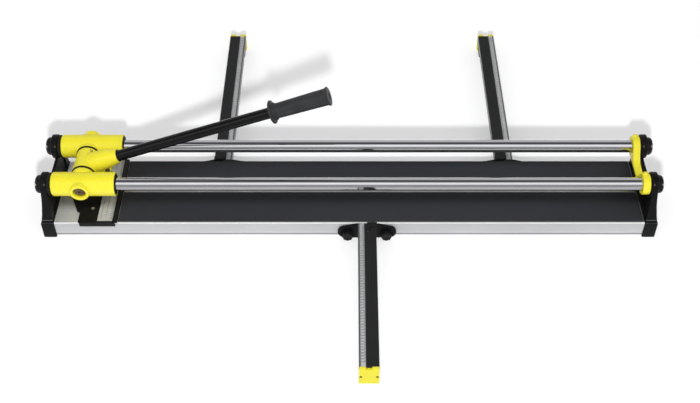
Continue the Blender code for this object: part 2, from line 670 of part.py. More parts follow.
def arm_section():
    """The arm's section across its width: rim, ruler seat, groove, strip seat, rim; open below."""
    half = ARM_WIDTH / 2
    far = ARM_WIDTH - ARM_WALL
    floor, roof = ARM_BOTTOM + ARM_WALL, STRIP_SEAT - 3.5
    points = [
        (0, ARM_BOTTOM), (0, ARM_TOP), (ARM_RIM, ARM_TOP), (ARM_RIM, RULER_SEAT),
        (ARM_GROOVE[0], RULER_SEAT), (ARM_GROOVE[0], STRIP_SEAT - 1.5), (ARM_GROOVE[1], STRIP_SEAT - 1.5),
        (ARM_GROOVE[1], STRIP_SEAT), (ARM_WIDTH, STRIP_SEAT), (ARM_WIDTH, ARM_BOTTOM),
        (far - FLANGE, ARM_BOTTOM), (far - FLANGE, floor), (far, floor), (far, roof),
        (ARM_WALL, roof), (ARM_WALL, floor), (ARM_WALL + FLANGE, floor), (ARM_WALL + FLANGE, ARM_BOTTOM),
    ]
    return [(u - half, z) for u, z in points]


def clamp_outline():
    """The clamp bracket seen from its front: a low wing each side of the notch for the arm."""
    notch = ARM_WIDTH / 2 + GAP
    half = arc((WING_HALF - WING_R, WING_BOTTOM + WING_R), WING_R, -90, 75, 9)
    half += [(36, WING_TOP), (notch, WING_TOP), (notch, ARM_BOTTOM - GAP)]
    return both(half)


def build_arm(name, x, side, tip):
    """One arm; the rear ones are the front one turned half round."""
    home = joint_empty(name + "_joint", (x, side * BASE_HALF_DEPTH, KNOB_Z))

    def across_arm(a, b):
        return ordered(x - side * (a - ARM_WIDTH / 2), x - side * (b - ARM_WIDTH / 2))

    def along(a, b):
        return ordered(side * a, side * b)

    section = [(x - side * u, z) for u, z in arm_section()]
    part(name + "_profile", "grey_aluminium", [outline(section, "Y", along(ARM_ROOT, tip - GAP))],
         home=home)
    inlay = along(ARM_ROOT + 2, tip - 1)
    part(name + "_ruler", "ruler_silver",
         [box(across_arm(ARM_RIM + GAP, ARM_GROOVE[0] - GAP), inlay, (RULER_SEAT + GAP, ARM_TOP - 0.2))],
         home=home)
    part(name + "_strip", "black_rubber",
         [box(across_arm(ARM_GROOVE[1] + GAP, ARM_WIDTH), inlay, (STRIP_SEAT + GAP, ARM_TOP + 0.5))],
         home=home)
    half_cap = END_CAP_WIDTH / 2
    cap = box((x - half_cap, x + half_cap), along(tip, tip + CAP_THICK), (0, ARM_TOP + 0.5))
    part(name + "_end_cap", "yellow_paint", [round_edges(cap, 2.0)], home=home)
    part(name + "_foot", "black_casting",
         [box((x - 24, x + 24), along(tip - FOOT_LENGTH, tip - GAP), (0, ARM_BOTTOM - GAP))], home=home)

    knobs = (x - KNOB_HALF_SPACING, x + KNOB_HALF_SPACING)
    wings = outline([(x + u, z) for u, z in clamp_outline()], "Y",
                    along(BASE_HALF_DEPTH + GAP, BRACKET_FACE))
    back = box((x - 28, x + 28), along(BASE_HALF_DEPTH + GAP, ARM_ROOT - GAP), (30, 61.5))
    tongue = box((x - 20, x + 20), along(ARM_ROOT - 2, ARM_ROOT + 92), (41, 58))
    holes = [rod((k, side * 130, KNOB_Z), (k, side * 160, KNOB_Z), STUD_R + GAP, sides=12) for k in knobs]
    neck = (SLOT_MOUTH[0] + GAP, SLOT_MOUTH[1] - GAP)
    pocket = box((x - SLOT_BAR_HALF - GAP, x + SLOT_BAR_HALF + GAP), along(BASE_HALF_DEPTH - 3, ARM_ROOT),
                 (neck[0] - GAP, neck[1] + GAP))
    part(name + "_clamp", "black_casting", [wings, back, tongue], holes + [pocket], home)

    lip = BASE_HALF_DEPTH - WALL
    room = BASE_HALF_DEPTH - SLOT_DEPTH
    half = (x - SLOT_BAR_HALF, x + SLOT_BAR_HALF)
    head = box(half, along(room + GAP, lip - GAP), (BASE_BOTTOM + WALL + GAP, SLOT_TOP - GAP))
    neck = box(half, along(lip - 2, ARM_ROOT - GAP), neck)
    part(name + "_slot_bar", "zinc_steel", [head, neck], home=home)

    height = KNOB_END - BRACKET_FACE - GAP
    knob = [(0, height), (14, height), (KNOB_R, height - 4), (KNOB_R, 4), (KNOB_R - 5, 0), (STUD_R, 0),
            (STUD_R, -STUD_LENGTH), (0, -STUD_LENGTH)]
    for label, k in zip(("a", "b"), knobs):
        place = (k, side * (BRACKET_FACE + GAP), KNOB_Z)
        knob_home = joint_empty(f"{name}_knob_{label}_joint", place, home)
        part(f"{name}_knob_{label}", "black_casting", [turned(knob, place, Y * side, sides=20)],
             home=knob_home)


clear_scene()
PARTS = new_collection("tile_cutter")
TOOLS = new_collection("cutters")
MATERIALS = {name: new_material(name) for name in COLOURS}

build_base()
build_fence()
build_end_brackets()
build_rails()
build_stop_plate()
build_carriage()
build_lever()
for arm in ARMS:
    build_arm(*arm)
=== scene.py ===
"""The finished look of the tile cutter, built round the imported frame.

Lengths are in millimetres, except in the studio at the end, which is in metres. X runs along the rails,
the front is at negative Y, and the ground is at zero Z. Sides are -1 (left or front) and 1 (right or rear).
"""
import json
import math

import bmesh
import bpy
from mathutils import Matrix, Vector


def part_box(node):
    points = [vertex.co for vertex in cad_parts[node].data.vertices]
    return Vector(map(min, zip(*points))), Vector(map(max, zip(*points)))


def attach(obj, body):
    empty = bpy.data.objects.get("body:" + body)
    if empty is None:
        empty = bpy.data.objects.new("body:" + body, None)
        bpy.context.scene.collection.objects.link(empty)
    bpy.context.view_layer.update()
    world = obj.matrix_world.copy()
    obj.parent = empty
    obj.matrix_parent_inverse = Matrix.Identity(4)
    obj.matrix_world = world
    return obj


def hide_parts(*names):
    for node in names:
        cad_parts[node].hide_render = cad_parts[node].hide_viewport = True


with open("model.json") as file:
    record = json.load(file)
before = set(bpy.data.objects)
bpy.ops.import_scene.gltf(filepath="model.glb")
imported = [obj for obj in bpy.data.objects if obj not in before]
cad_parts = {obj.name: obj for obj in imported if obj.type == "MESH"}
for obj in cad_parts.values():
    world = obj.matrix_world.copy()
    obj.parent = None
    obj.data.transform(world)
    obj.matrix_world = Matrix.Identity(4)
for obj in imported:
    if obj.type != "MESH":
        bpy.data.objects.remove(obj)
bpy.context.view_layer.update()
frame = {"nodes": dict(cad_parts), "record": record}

MM = 0.001
GAP = 0.3
X, Y, Z = Vector((1, 0, 0)), Vector((0, 1, 0)), Vector((0, 0, 1))
BOTH_SIDES = (-1, 1)
ENDS = {"left": -1, "right": 1}
HOUSINGS = {"front": -1, "rear": 1}
ARMS = {"front_arm": -1, "rear_left_arm": 1, "rear_right_arm": 1}
QUICK_GRAIN = 1.0


# ---------------------------------------------------------------- places, from the frame

def low(node):
    return Vector(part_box(node)[0]) / MM


def high(node):
    return Vector(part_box(node)[1]) / MM


def middle(node):
    return (low(node) + high(node)) / 2


def spans(node):
    """A node's ranges in x, y and z, as box and soft_box take them."""
    return tuple(zip(low(node), high(node)))


def joint_place(name):
    joint = next(j for j in frame["record"]["behaviour"]["joints"] if j["name"] == name)
    return Vector(joint["pos_m"]) / MM


RAIL_R = (high("front_rail").z - low("front_rail").z) / 2
RAIL_Y = middle("rear_rail").y
RAIL_Z = middle("rear_rail").z
RAIL_HOLE_R = RAIL_R + GAP
BASE_SIDE = high("base_profile").y + GAP
PIVOT = joint_place("lever_pivot")
WHEEL = joint_place("wheel_spin") - PIVOT
BREAKER = joint_place("breaker_tilt") - PIVOT
HANDLE_ANGLE = math.radians(20)
ALONG_HANDLE = Vector((math.cos(HANDLE_ANGLE), 0, math.sin(HANDLE_ANGLE)))
NECK_END = 113
LUG_X = 70.0
BRACKET_BOLT_Y, BRACKET_BOLT_Z = 71.5, 33.5
SET_SCREW_X = 920
SET_SCREW_ANGLE = math.radians(40)
SET_SCREW_OUT = Vector((0, -math.cos(SET_SCREW_ANGLE), math.sin(SET_SCREW_ANGLE)))
KNOB_SPACING = 60.0
KNOB_FACE = high("rear_left_arm_knob_a").y - 18.0
KNOB_Z = middle("front_arm_knob_a").z


# ---------------------------------------------------------------- modelling helpers

def link(obj):
    bpy.context.scene.collection.objects.link(obj)
    return obj


def from_bmesh(bm):
    bmesh.ops.scale(bm, vec=(MM, MM, MM), verts=bm.verts)
    mesh = bpy.data.meshes.new("solid")
    bm.to_mesh(mesh)
    bm.free()
    return link(bpy.data.objects.new("solid", mesh))


def settle(obj):
    """Replace an object with modifiers, or a curve, by the mesh that it shows."""
    bpy.context.view_layer.update()
    shown = obj.evaluated_get(bpy.context.evaluated_depsgraph_get())
    mesh = bpy.data.meshes.new_from_object(shown)
    mesh.transform(obj.matrix_world)
    bm = bmesh.new()
    bm.from_mesh(mesh)
    bmesh.ops.remove_doubles(bm, verts=bm.verts, dist=0.000002)
    bmesh.ops.recalc_face_normals(bm, faces=bm.faces)
    bm.to_mesh(mesh)
    bm.free()
    bpy.data.objects.remove(obj, do_unlink=True)
    return link(bpy.data.objects.new("solid", mesh))


def box(x, y, z):
    """A box that spans the ranges x, y and z, given in any order."""
    a, b = Vector((min(x), min(y), min(z))), Vector((max(x), max(y), max(z)))
    bm = bmesh.new()
    place = Matrix.Translation((a + b) / 2) @ Matrix.Diagonal((*(b - a), 1.0))
    bmesh.ops.create_cube(bm, size=1.0, matrix=place)
    return from_bmesh(bm)


def soft_box(x, y, z, width, segments=3):
    """A box with rounded edges."""
    return bevelled(box(x, y, z), width, segments)


def rod(start, end, radius, end_radius=None, sides=64):
    """A cylinder, or a cone when end_radius is given."""
    start, end = Vector(start), Vector(end)
    along = end - start
    turn = along.to_track_quat("Z", "Y").to_matrix().to_4x4()
    bm = bmesh.new()
    bmesh.ops.create_cone(bm, cap_ends=True, segments=sides, radius1=radius,
                          radius2=radius if end_radius is None else end_radius,
                          depth=along.length, matrix=Matrix.Translation((start + end) / 2) @ turn)
    return from_bmesh(bm)


def turned(profile, start, direction, sides=64, ring=False):
    """A profile of (radius, distance along) points turned about a line."""
    mesh = bpy.data.meshes.new("profile")
    count = len(profile)
    edges = [(i, i + 1) for i in range(count - 1)] + ([(count - 1, 0)] if ring else [])
    mesh.from_pydata([(r * MM, 0.0, h * MM) for r, h in profile], edges, [])
    obj = link(bpy.data.objects.new("turned", mesh))
    turn = Vector(direction).to_track_quat("Z", "Y").to_matrix().to_4x4()
    obj.matrix_world = Matrix.Translation(Vector(start) * MM) @ turn
    screw = obj.modifiers.new("turn", "SCREW")
    screw.steps = sides
    screw.render_steps = sides
    screw.use_merge_vertices = True
    screw.merge_threshold = 0.00001
    return settle(obj)


OUTLINE_TURN = {
    "X": Matrix(((0, 0, 1, 0), (1, 0, 0, 0), (0, 1, 0, 0), (0, 0, 0, 1))),
    "Y": Matrix(((1, 0, 0, 0), (0, 0, -1, 0), (0, 1, 0, 0), (0, 0, 0, 1))),
    "Z": Matrix.Identity(4),
}


def outline(points, axis, span, edge=0.0):
    """A flat outline in the two other axes, extruded along an axis; edge rounds its rim."""
    curve = bpy.data.curves.new("outline", "CURVE")
    curve.dimensions = "2D"
    curve.fill_mode = "BOTH"
    curve.extrude = (abs(span[1] - span[0]) / 2 - edge) * MM
    curve.bevel_depth = edge * MM
    curve.bevel_resolution = 2
    curve.offset = -edge * MM
    spline = curve.splines.new("POLY")
    spline.points.add(len(points) - 1)
    for point, (a, b) in zip(spline.points, points):
        point.co = (a * MM, b * MM, 0.0, 1.0)
    spline.use_cyclic_u = True
    obj = link(bpy.data.objects.new("outline", curve))
    shift = {"X": X, "Y": Y, "Z": Z}[axis] * (span[0] + span[1]) / 2 * MM
    obj.matrix_world = Matrix.Translation(shift) @ OUTLINE_TURN[axis]
    return settle(obj)


def arc(centre, radius, start, end, steps):
    """Points along an arc; angles in degrees."""
    turns = [math.radians(start + (end - start) * i / steps) for i in range(steps + 1)]
    return [(centre[0] + radius * math.cos(a), centre[1] + radius * math.sin(a)) for a in turns]


def on_side(points, side):
    """An outline on the side given: as it is for 1, mirrored in the first axis for -1."""
    return [(side * a, b) for a, b in points]


def both(points):
    """A half outline and its mirror image in the first axis."""
    return list(points) + on_side(reversed(points), -1)


def bevelled(obj, width, segments=3, angle=35):
    """Round the edges that turn by more than the angle."""
    bevel = obj.modifiers.new("rounded edges", "BEVEL")
    bevel.width = width * MM
    bevel.segments = segments
    bevel.limit_method = "ANGLE"
    bevel.angle_limit = math.radians(angle)
    return settle(obj)


def combine(solid, others, operation="UNION"):
    """Join solids to the first, or cut them out of it."""
    for other in others:
        boolean = solid.modifiers.new(operation.lower(), "BOOLEAN")
        boolean.operation = operation
        boolean.solver = "EXACT"
        boolean.object = other
    result = settle(solid)
    for other in others:
        bpy.data.objects.remove(other, do_unlink=True)
    return result


def cut(solid, cutters):
    return combine(solid, cutters, "DIFFERENCE")


def cast(obj, grain, rounds):
    """A casting's skin: one even mesh whose edges and corners are melted into small fillets."""
    remesh = obj.modifiers.new("skin", "REMESH")
    remesh.mode = "VOXEL"
    remesh.voxel_size = grain * QUICK_GRAIN * MM
    smooth = obj.modifiers.new("fillets", "SMOOTH")
    smooth.factor = 0.5
    smooth.iterations = rounds
    return settle(obj)


def merged(solids):
    """Separate solids that make up one piece, such as a row of equal screws."""
    bm = bmesh.new()
    for solid in solids:
        bm.from_mesh(solid.data)
        bpy.data.objects.remove(solid, do_unlink=True)
    mesh = bpy.data.meshes.new("solids")
    bm.to_mesh(mesh)
    bm.free()
    return link(bpy.data.objects.new("solids", mesh))


def piece(obj, name, look, body, slot, *nodes, sharp=40):
    """Name a finished piece, give it its material, and let it ride on its body."""
    obj.name = name
    obj.data.name = name
    obj.data.materials.clear()
    obj.data.materials.append(LOOKS[look])
    obj.data.shade_smooth()
    obj.data.set_sharp_from_angle(angle=math.radians(sharp))
    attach(obj, body)
    if nodes:
        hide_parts(*nodes)
    return obj


# ---------------------------------------------------------------- materials

def node_maker(tree):
    """A function that adds a node to the tree, with inputs that are values or other nodes' outputs."""
    def node(kind, inputs=None, **settings):
        made = tree.nodes.new(kind)
        for key, value in settings.items():
            setattr(made, key, value)
        for key, value in (inputs or {}).items():
            if isinstance(value, bpy.types.NodeSocket):
                tree.links.new(value, made.inputs[key])
            else:
                made.inputs[key].default_value = value
        return made

    return node


def graph(name):
    """A new material, its node tree, its shader and a maker of nodes."""
    material = bpy.data.materials.new(name)
    material.use_nodes = True
    tree = material.node_tree
    return material, tree, tree.nodes["Principled BSDF"], node_maker(tree)


def surface(name, colour, second, roughness, metallic=0.0, grain=(900.0, 0.25), streaks=(1, 1, 1),
            cloud=6.0, wear=None, coat=0.0, specular=0.5):
    """A finish: two tones in soft clouds, uneven gloss, a fine grain in relief, and optional edge wear."""
    material, tree, shader, node = graph(name)
    place = node("ShaderNodeTexCoord").outputs["Object"]
    stretched = node("ShaderNodeMapping", {"Vector": place, "Scale": streaks}).outputs["Vector"]
    clouds = node("ShaderNodeTexNoise", {"Vector": place, "Scale": cloud, "Detail": 4.0}).outputs["Fac"]
    scale, relief = grain
    fine = node("ShaderNodeTexNoise", {"Vector": stretched, "Scale": scale, "Detail": 3.0}).outputs["Fac"]
    share = node("ShaderNodeMapRange", {"Value": clouds, "From Min": 0.35,
                                        "From Max": 0.65}).outputs["Result"]
    tone = node("ShaderNodeMix", {0: share, 6: (*colour, 1), 7: (*second, 1)}, data_type="RGBA").outputs[2]
    speck = node("ShaderNodeMapRange", {"Value": fine, "From Min": 0.3, "From Max": 0.7,
                                        "To Min": 0.90, "To Max": 1.08}).outputs["Result"]
    tone = node("ShaderNodeVectorMath", {0: tone, 3: speck}, operation="SCALE").outputs["Vector"]
    if wear:
        edge = node("ShaderNodeNewGeometry").outputs["Pointiness"]
        edge = node("ShaderNodeMapRange", {"Value": edge, "From Min": 0.54, "From Max": 0.66,
                                           "To Max": 0.6}).outputs["Result"]
        broken = node("ShaderNodeMath", {0: edge, 1: fine}, operation="MULTIPLY").outputs["Value"]
        tone = node("ShaderNodeMix", {0: broken, 6: tone, 7: (*wear, 1)}, data_type="RGBA").outputs[2]
    tree.links.new(tone, shader.inputs["Base Color"])
    gloss = node("ShaderNodeMapRange", {"Value": clouds, "From Min": 0.3, "From Max": 0.7,
                                        "To Min": roughness * 0.85, "To Max": min(1.0, roughness * 1.15)})
    tree.links.new(gloss.outputs["Result"], shader.inputs["Roughness"])
    bump = node("ShaderNodeBump", {"Height": fine, "Strength": relief, "Distance": 0.0002})
    tree.links.new(bump.outputs["Normal"], shader.inputs["Normal"])
    shader.inputs["Metallic"].default_value = metallic
    shader.inputs["Coat Weight"].default_value = coat
    shader.inputs["Coat Roughness"].default_value = 0.15
    shader.inputs["Specular IOR Level"].default_value = specular
    return material


LOOKS = {
    "yellow": surface("yellow_enamel", (0.90, 0.81, 0.030), (0.87, 0.78, 0.027), 0.42, grain=(420.0, 0.08),
                      coat=0.15),
    "black": surface("black_textured", (0.0048, 0.0048, 0.0054), (0.0072, 0.0072, 0.0078), 0.48,
                     grain=(1400.0, 0.45), wear=(0.04, 0.04, 0.042), specular=0.16),
    "black_plastic": surface("black_plastic", (0.0070, 0.0070, 0.0076), (0.0105, 0.0105, 0.011), 0.42,
                             grain=(1800.0, 0.30), specular=0.28),
    "aluminium": surface("anodised_aluminium", (0.68, 0.685, 0.695), (0.62, 0.625, 0.635), 0.45, 0.45,
                         grain=(1500.0, 0.20), streaks=(0.01, 1, 1), cloud=2.5),
    # near-white colour that paints the highlight along the base's rounded top edges
    "painted_highlight_edge": surface("painted_edge_highlight", (0.95, 0.95, 0.95), (0.90, 0.90, 0.90), 0.30, 0.2,
                           grain=(1500.0, 0.10), streaks=(0.01, 1, 1), cloud=2.5),
    "grey_aluminium": surface("grey_anodised", (0.17, 0.173, 0.178), (0.135, 0.138, 0.142), 0.42, 0.5,
                              grain=(1500.0, 0.20), streaks=(1, 0.01, 1), cloud=3.0),
    "ruler": surface("ruler_face", (0.58, 0.585, 0.585), (0.49, 0.495, 0.495), 0.45, 0.2,
                     grain=(1300.0, 0.15), cloud=9.0),
    "marks": surface("printed_marks", (0.010, 0.010, 0.012), (0.016, 0.016, 0.018), 0.6, grain=(2000.0, 0.05),
                     specular=0.2),
    "chrome": surface("hard_chrome", (0.75, 0.75, 0.77), (0.72, 0.72, 0.74), 0.085, 1.0,
                      grain=(1200.0, 0.006), streaks=(0.01, 1, 1), cloud=3.0),
    "steel": surface("zinc_plated", (0.62, 0.62, 0.60), (0.52, 0.52, 0.50), 0.30, 0.95,
                     grain=(1200.0, 0.12), cloud=14.0),
    "dark_steel": surface("blackened_steel", (0.045, 0.045, 0.047), (0.07, 0.068, 0.065), 0.35, 0.9,
                          grain=(1200.0, 0.15), cloud=20.0, wear=(0.25, 0.25, 0.25)),
    "bronze": surface("bronze_screw", (0.24, 0.17, 0.10), (0.17, 0.12, 0.075), 0.42, 0.6,
                      grain=(900.0, 0.15), cloud=30.0),
    "dark_bronze": surface("browned_bolt", (0.13, 0.10, 0.065), (0.16, 0.12, 0.08), 0.42, 0.7,
                           grain=(900.0, 0.15), cloud=30.0),
    "carbide": surface("ground_carbide", (0.34, 0.35, 0.37), (0.26, 0.27, 0.29), 0.22, 1.0,
                       grain=(2500.0, 0.10), cloud=40.0),
    "pad": surface("pad_rubber", (0.030, 0.031, 0.036), (0.036, 0.037, 0.042), 0.80,
                   grain=(620.0, 0.55), cloud=3.0, specular=0.25),
    "rubber": surface("black_rubber", (0.010, 0.010, 0.011), (0.015, 0.015, 0.016), 0.65,
                      grain=(1300.0, 0.40), cloud=12.0, specular=0.25),
    "strip": surface("ribbed_rubber", (0.016, 0.0165, 0.017), (0.022, 0.0225, 0.023), 0.5,
                     grain=(1300.0, 0.30), cloud=12.0, specular=0.35),
    "grip": surface("grip_rubber", (0.024, 0.025, 0.026), (0.034, 0.035, 0.036), 0.50,
                    grain=(1100.0, 0.50), cloud=22.0, specular=0.35),
    "tube": surface("black_powder_coat", (0.0040, 0.0040, 0.0045), (0.0065, 0.0065, 0.007), 0.15,
                    grain=(1500.0, 0.08), cloud=10.0, specular=0.28),
}


# ---------------------------------------------------------------- base

def build_extrusion():
    """The base profile with rounded top edges and a low clamp groove in each side; a thin near-white band on
    each top edge paints its highlight.
    """
    a, b = low("base_profile"), high("base_profile")
    wall, top, bottom = b.y, b.z, a.z
    lip, back, plate, sole = wall - 3.0, wall - 12.0, top - 5.0, bottom + 3.0
    corner_r = 3.2
    corner = (wall - corner_r, top - corner_r)
    half = [(4.6, 51.6), (4.6, top - 0.4), (5.0, top)] + arc(corner, corner_r, 90, 0, 6) + [
        (wall, 16.4), (wall - 0.4, 16.0), (lip, 16.0), (lip, 21.0), (back, 21.0), (back, sole), (lip, sole),
        (lip, 12.5), (wall - 0.4, 12.5), (wall, 12.1), (wall, bottom + 0.8), (wall - 0.8, bottom),
        (112.0, bottom), (112.0, sole), (back - 3, sole), (back - 3, 24.0), (lip, 24.0), (lip, plate),
        (73.0, plate), (73.0, sole), (80.5, sole), (80.5, bottom), (62.5, bottom), (62.5, sole),
        (70.0, sole), (70.0, plate), (7.6, plate), (7.6, 50.1), (1.5, 48.6), (1.5, sole), (20.0, sole),
        (20.0, bottom),
    ]
    profile = outline(both(half), "X", (a.x, b.x))
    piece(profile, "base_extrusion", "aluminium", "base", "aluminium", "base_profile", sharp=20)
    # a thin near-white band over each rounded top edge, whose colour paints the highlight along it
    band = arc(corner, corner_r + 0.05, 78, 12, 6) + arc(corner, corner_r - 0.3, 12, 78, 6)
    edges = [outline(on_side(band, s), "X", (a.x, b.x)) for s in BOTH_SIDES]
    piece(merged(edges), "base_painted_highlight_edges", "painted_highlight_edge", "base", "aluminium", sharp=30)


def build_pads():
    """The rubber pads, each with a grey strip at its right end whose colour paints the highlight along the
    pad's edge.
    """
    strip, joint = 2.8, 0.7
    for node in ("pad_front", "pad_rear"):
        p, q = low(node), high(node)
        pad = soft_box((p.x, q.x - strip - joint), (p.y, q.y), (p.z, q.z), 1.4)
        piece(pad, node + "_rubber", "pad", "base", "pad_rubber", node, sharp=60)
        # grey strip at the pad's right end: its colour paints the highlight on the pad's edge
        edge = soft_box((q.x - strip, q.x), (p.y, q.y), (p.z, q.z - 0.6), 0.5, 2)
        piece(edge, node + "_painted_highlight_strip", "grey_aluminium", "base", "aluminium", sharp=60)


def build_breaking_bar():
    """The steel bar in the middle of the base, with its rounded crown."""
    p, q = low("breaker_bar"), high("breaker_bar")
    crown = [(q.y, p.z), (q.y, q.z - 2.5)] + arc((0, q.z - q.y), q.y, 25, 80, 5)
    bar = outline(both(crown), "X", (p.x, q.x))
    piece(bar, "breaker_ridge", "steel", "base", "zinc_steel", "breaker_bar", sharp=60)


def build_middle_foot():
    top, r = high("middle_foot").z, high("middle_foot").y
    profile = [(0, top), (r - 0.5, top), (r, top - 0.5), (r, 1.2), (r - 1.2, 0), (7, 0), (6, 0.8), (0, 0.8)]
    foot = turned(profile, (0, 0, 0), Z)
    piece(foot, "middle_rubber_foot", "rubber", "base", "black_rubber", "middle_foot")


def screw_head(place, direction, radius, height):
    """A button head with a hexagon socket."""
    place, direction = Vector(place), Vector(direction).normalized()
    dome = [(radius * math.sin(t), height * (0.35 + 0.65 * math.cos(t)))
            for t in (0.35, 0.7, 1.0, 1.3, math.pi / 2)]
    head = turned([(0, height)] + dome + [(radius, -1.0), (0, -1.0)], place, direction, 32)
    socket = rod(place + direction * height * 0.45, place + direction * (height + 2), radius * 0.45, sides=6)
    return cut(head, [socket])


# ---------------------------------------------------------------- rulers and fence

def number_rows(numbers, start, pitch, size, height, side):
    """Numbers, one every pitch along Y from the start towards the side, that all read from the front."""
    order = list(numbers) if side < 0 else list(reversed(numbers))
    curve = bpy.data.curves.new("numbers", "FONT")
    curve.body = "\n".join(str(n) for n in order)
    curve.size = size * MM
    curve.space_line = pitch / size
    curve.align_x = "CENTER"
    curve.align_y = "TOP_BASELINE"
    curve.extrude = 0.04 * MM
    curve.resolution_u = 2
    obj = link(bpy.data.objects.new("numbers", curve))
    top_line = start[1] if side < 0 else start[1] + pitch * (len(order) - 1)
    obj.matrix_world = Matrix.Translation(Vector((start[0], top_line, height)) * MM)
    return settle(obj)


def tick_rows(x_edge, inward, y_start, y_step, count, height, short, long):
    """Scale marks along Y that start at a ruler's edge; every second one is short."""
    width, ink = 1.5, 0.1
    ticks = []
    for i in range(count + 1):
        reach = short if i % 2 else long
        y = y_start + i * y_step
        ticks.append(box((x_edge, x_edge + inward * reach), (y - width / 2, y + width / 2),
                         (height - ink / 2, height + ink / 2)))
    return ticks


def build_fence():
    """The fence: a flat casting with a low lip at its right edge and hooks over the base's long sides."""
    a, b = low("fence_body"), high("fence_body")
    p, q = low("fence_ruler"), high("fence_ruler")
    left, right, depth = -838.0, b.x, BASE_SIDE
    underside, top = 61.9, 67.5
    notched = [(left, -depth), (left, -100.0), (left - 4, -95.0), (left - 10, -92.0), (left - 31, -42.0),
               (a.x, -34.0)]
    plan = notched + [(x, -y) for x, y in reversed(notched)] + [(right, depth), (right, -depth)]
    body = outline(plan, "Z", (underside, top))
    lip = box((right - 14.7, right), (-depth, depth), (underside, b.z))
    hooks = [box((left + 4, right - 7), (s * (depth - 1), s * (depth + 4)), (a.z, top)) for s in BOTH_SIDES]
    seat = box((p.x - GAP, q.x + GAP), (-depth - 9, depth + 9), (top - 1.3, top + 5))
    below = box((left - 60, right + 1), (-depth, depth), (underside - 22, underside))
    body = bevelled(cut(combine(body, [lip] + hooks), [seat, below]), 0.8, 2, 40)
    piece(body, "fence_casting", "black", "base", "black_casting", "fence_body", sharp=50)
    screws = [screw_head((-800.0, s * 82.0, top), Z, 5.6, 2.4) for s in BOTH_SIDES]
    piece(merged(screws), "fence_screws", "steel", "base", "zinc_steel", sharp=30)


def build_fence_scale():
    """The fence's ruler, numbered in centimetres both ways from the middle."""
    p, q = low("fence_ruler"), high("fence_ruler")
    ruler = soft_box(*spans("fence_ruler"), 0.4, 2)
    piece(ruler, "fence_scale", "ruler", "base", "ruler_silver", "fence_ruler")
    marks = []
    for side in BOTH_SIDES:
        marks += tick_rows(q.x - 0.8, -1, side * 5.0, side * 5.0, 25, q.z + 0.02, 5.0, 9.5)
    marks.append(number_rows(range(12, 0, -1), (q.x - 22, -12.8), 10.0, 7.6, q.z + 0.05, -1))
    marks.append(number_rows(range(1, 13), (q.x - 22, 7.2), 10.0, 7.6, q.z + 0.05, 1))
    marks.append(box((p.x + 9.6, p.x + 10.4), (-128, 128), (q.z - 0.03, q.z + 0.07)))
    piece(merged(marks), "fence_scale_marks", "marks", "base", "ruler_silver")


# ---------------------------------------------------------------- end brackets, rails and stop plate

def build_bracket(end, side):
    """One end bracket: a foot, two flared posts, a web and an ear with a clamped socket round each rail."""
    node = "end_bracket_" + end
    inner, outer = sorted((abs(low(node).x), abs(high(node).x)))
    depth, ear, ear_inner, ear_outer = high(node).y, 37.5, 915.2, 934
    foot = soft_box((side * inner, side * outer), (-depth, depth), (0, 61.6), 3.0)
    plate = outline(both([(depth - 0.5, 50.0)] + arc((RAIL_Y, RAIL_Z), ear - 0.5, 0, 232, 40)), "X",
                    (side * 921.0, side * 930.0))
    flare = [(ear_inner, 50), (ear_inner, 172), (ear_outer, 172), (935.3, 155), (937, 138), (939.3, 121),
             (942.4, 104), (945.0, 88), (948.4, 72), (950.0, 62), (950.0, 50)]
    posts = [outline(on_side(flare, side), "Y", (s * 108.0, s * (depth - 0.4))) for s in BOTH_SIDES]
    slope = [(depth - 3.6, 61.7), (depth + 20, 61.7), (depth + 20, 220), (RAIL_Y + ear + 0.2, 220),
             (RAIL_Y + ear + 0.2, RAIL_Z)]
    cuts = [outline(on_side(slope, s), "X", (side * 900, side * 960)) for s in BOTH_SIDES]
    ears = []
    for s in BOTH_SIDES:
        rail, screw = Vector((0, s * RAIL_Y, RAIL_Z)), Vector((side * SET_SCREW_X, s * RAIL_Y, RAIL_Z))
        bolt = Vector((0, s * BRACKET_BOLT_Y, BRACKET_BOLT_Z))
        ears.append(rod(rail + X * side * ear_inner, rail + X * side * ear_outer, ear, sides=96))
        ears.append(rod(rail + X * side * 933, rail + X * side * 937.2, 36, 30, sides=96))
        cuts.append(rod(rail + X * side * 900, rail + X * side * 960, RAIL_HOLE_R, sides=96))
        cuts.append(rod(screw + SET_SCREW_OUT * 33.5, screw + SET_SCREW_OUT * 46, 3.7, sides=24))
        cuts.append(rod(bolt + X * side * 946, bolt + X * side * 960, 6.5, sides=32))
        cuts.append(rod(bolt + X * side * 905, bolt + X * side * 960, 3.3, sides=16))
    solid = cast(cut(combine(foot, [plate] + posts + ears), cuts), 1.5, 5)
    piece(solid, node + "_casting", "black", "base", "black_casting", node, sharp=70)


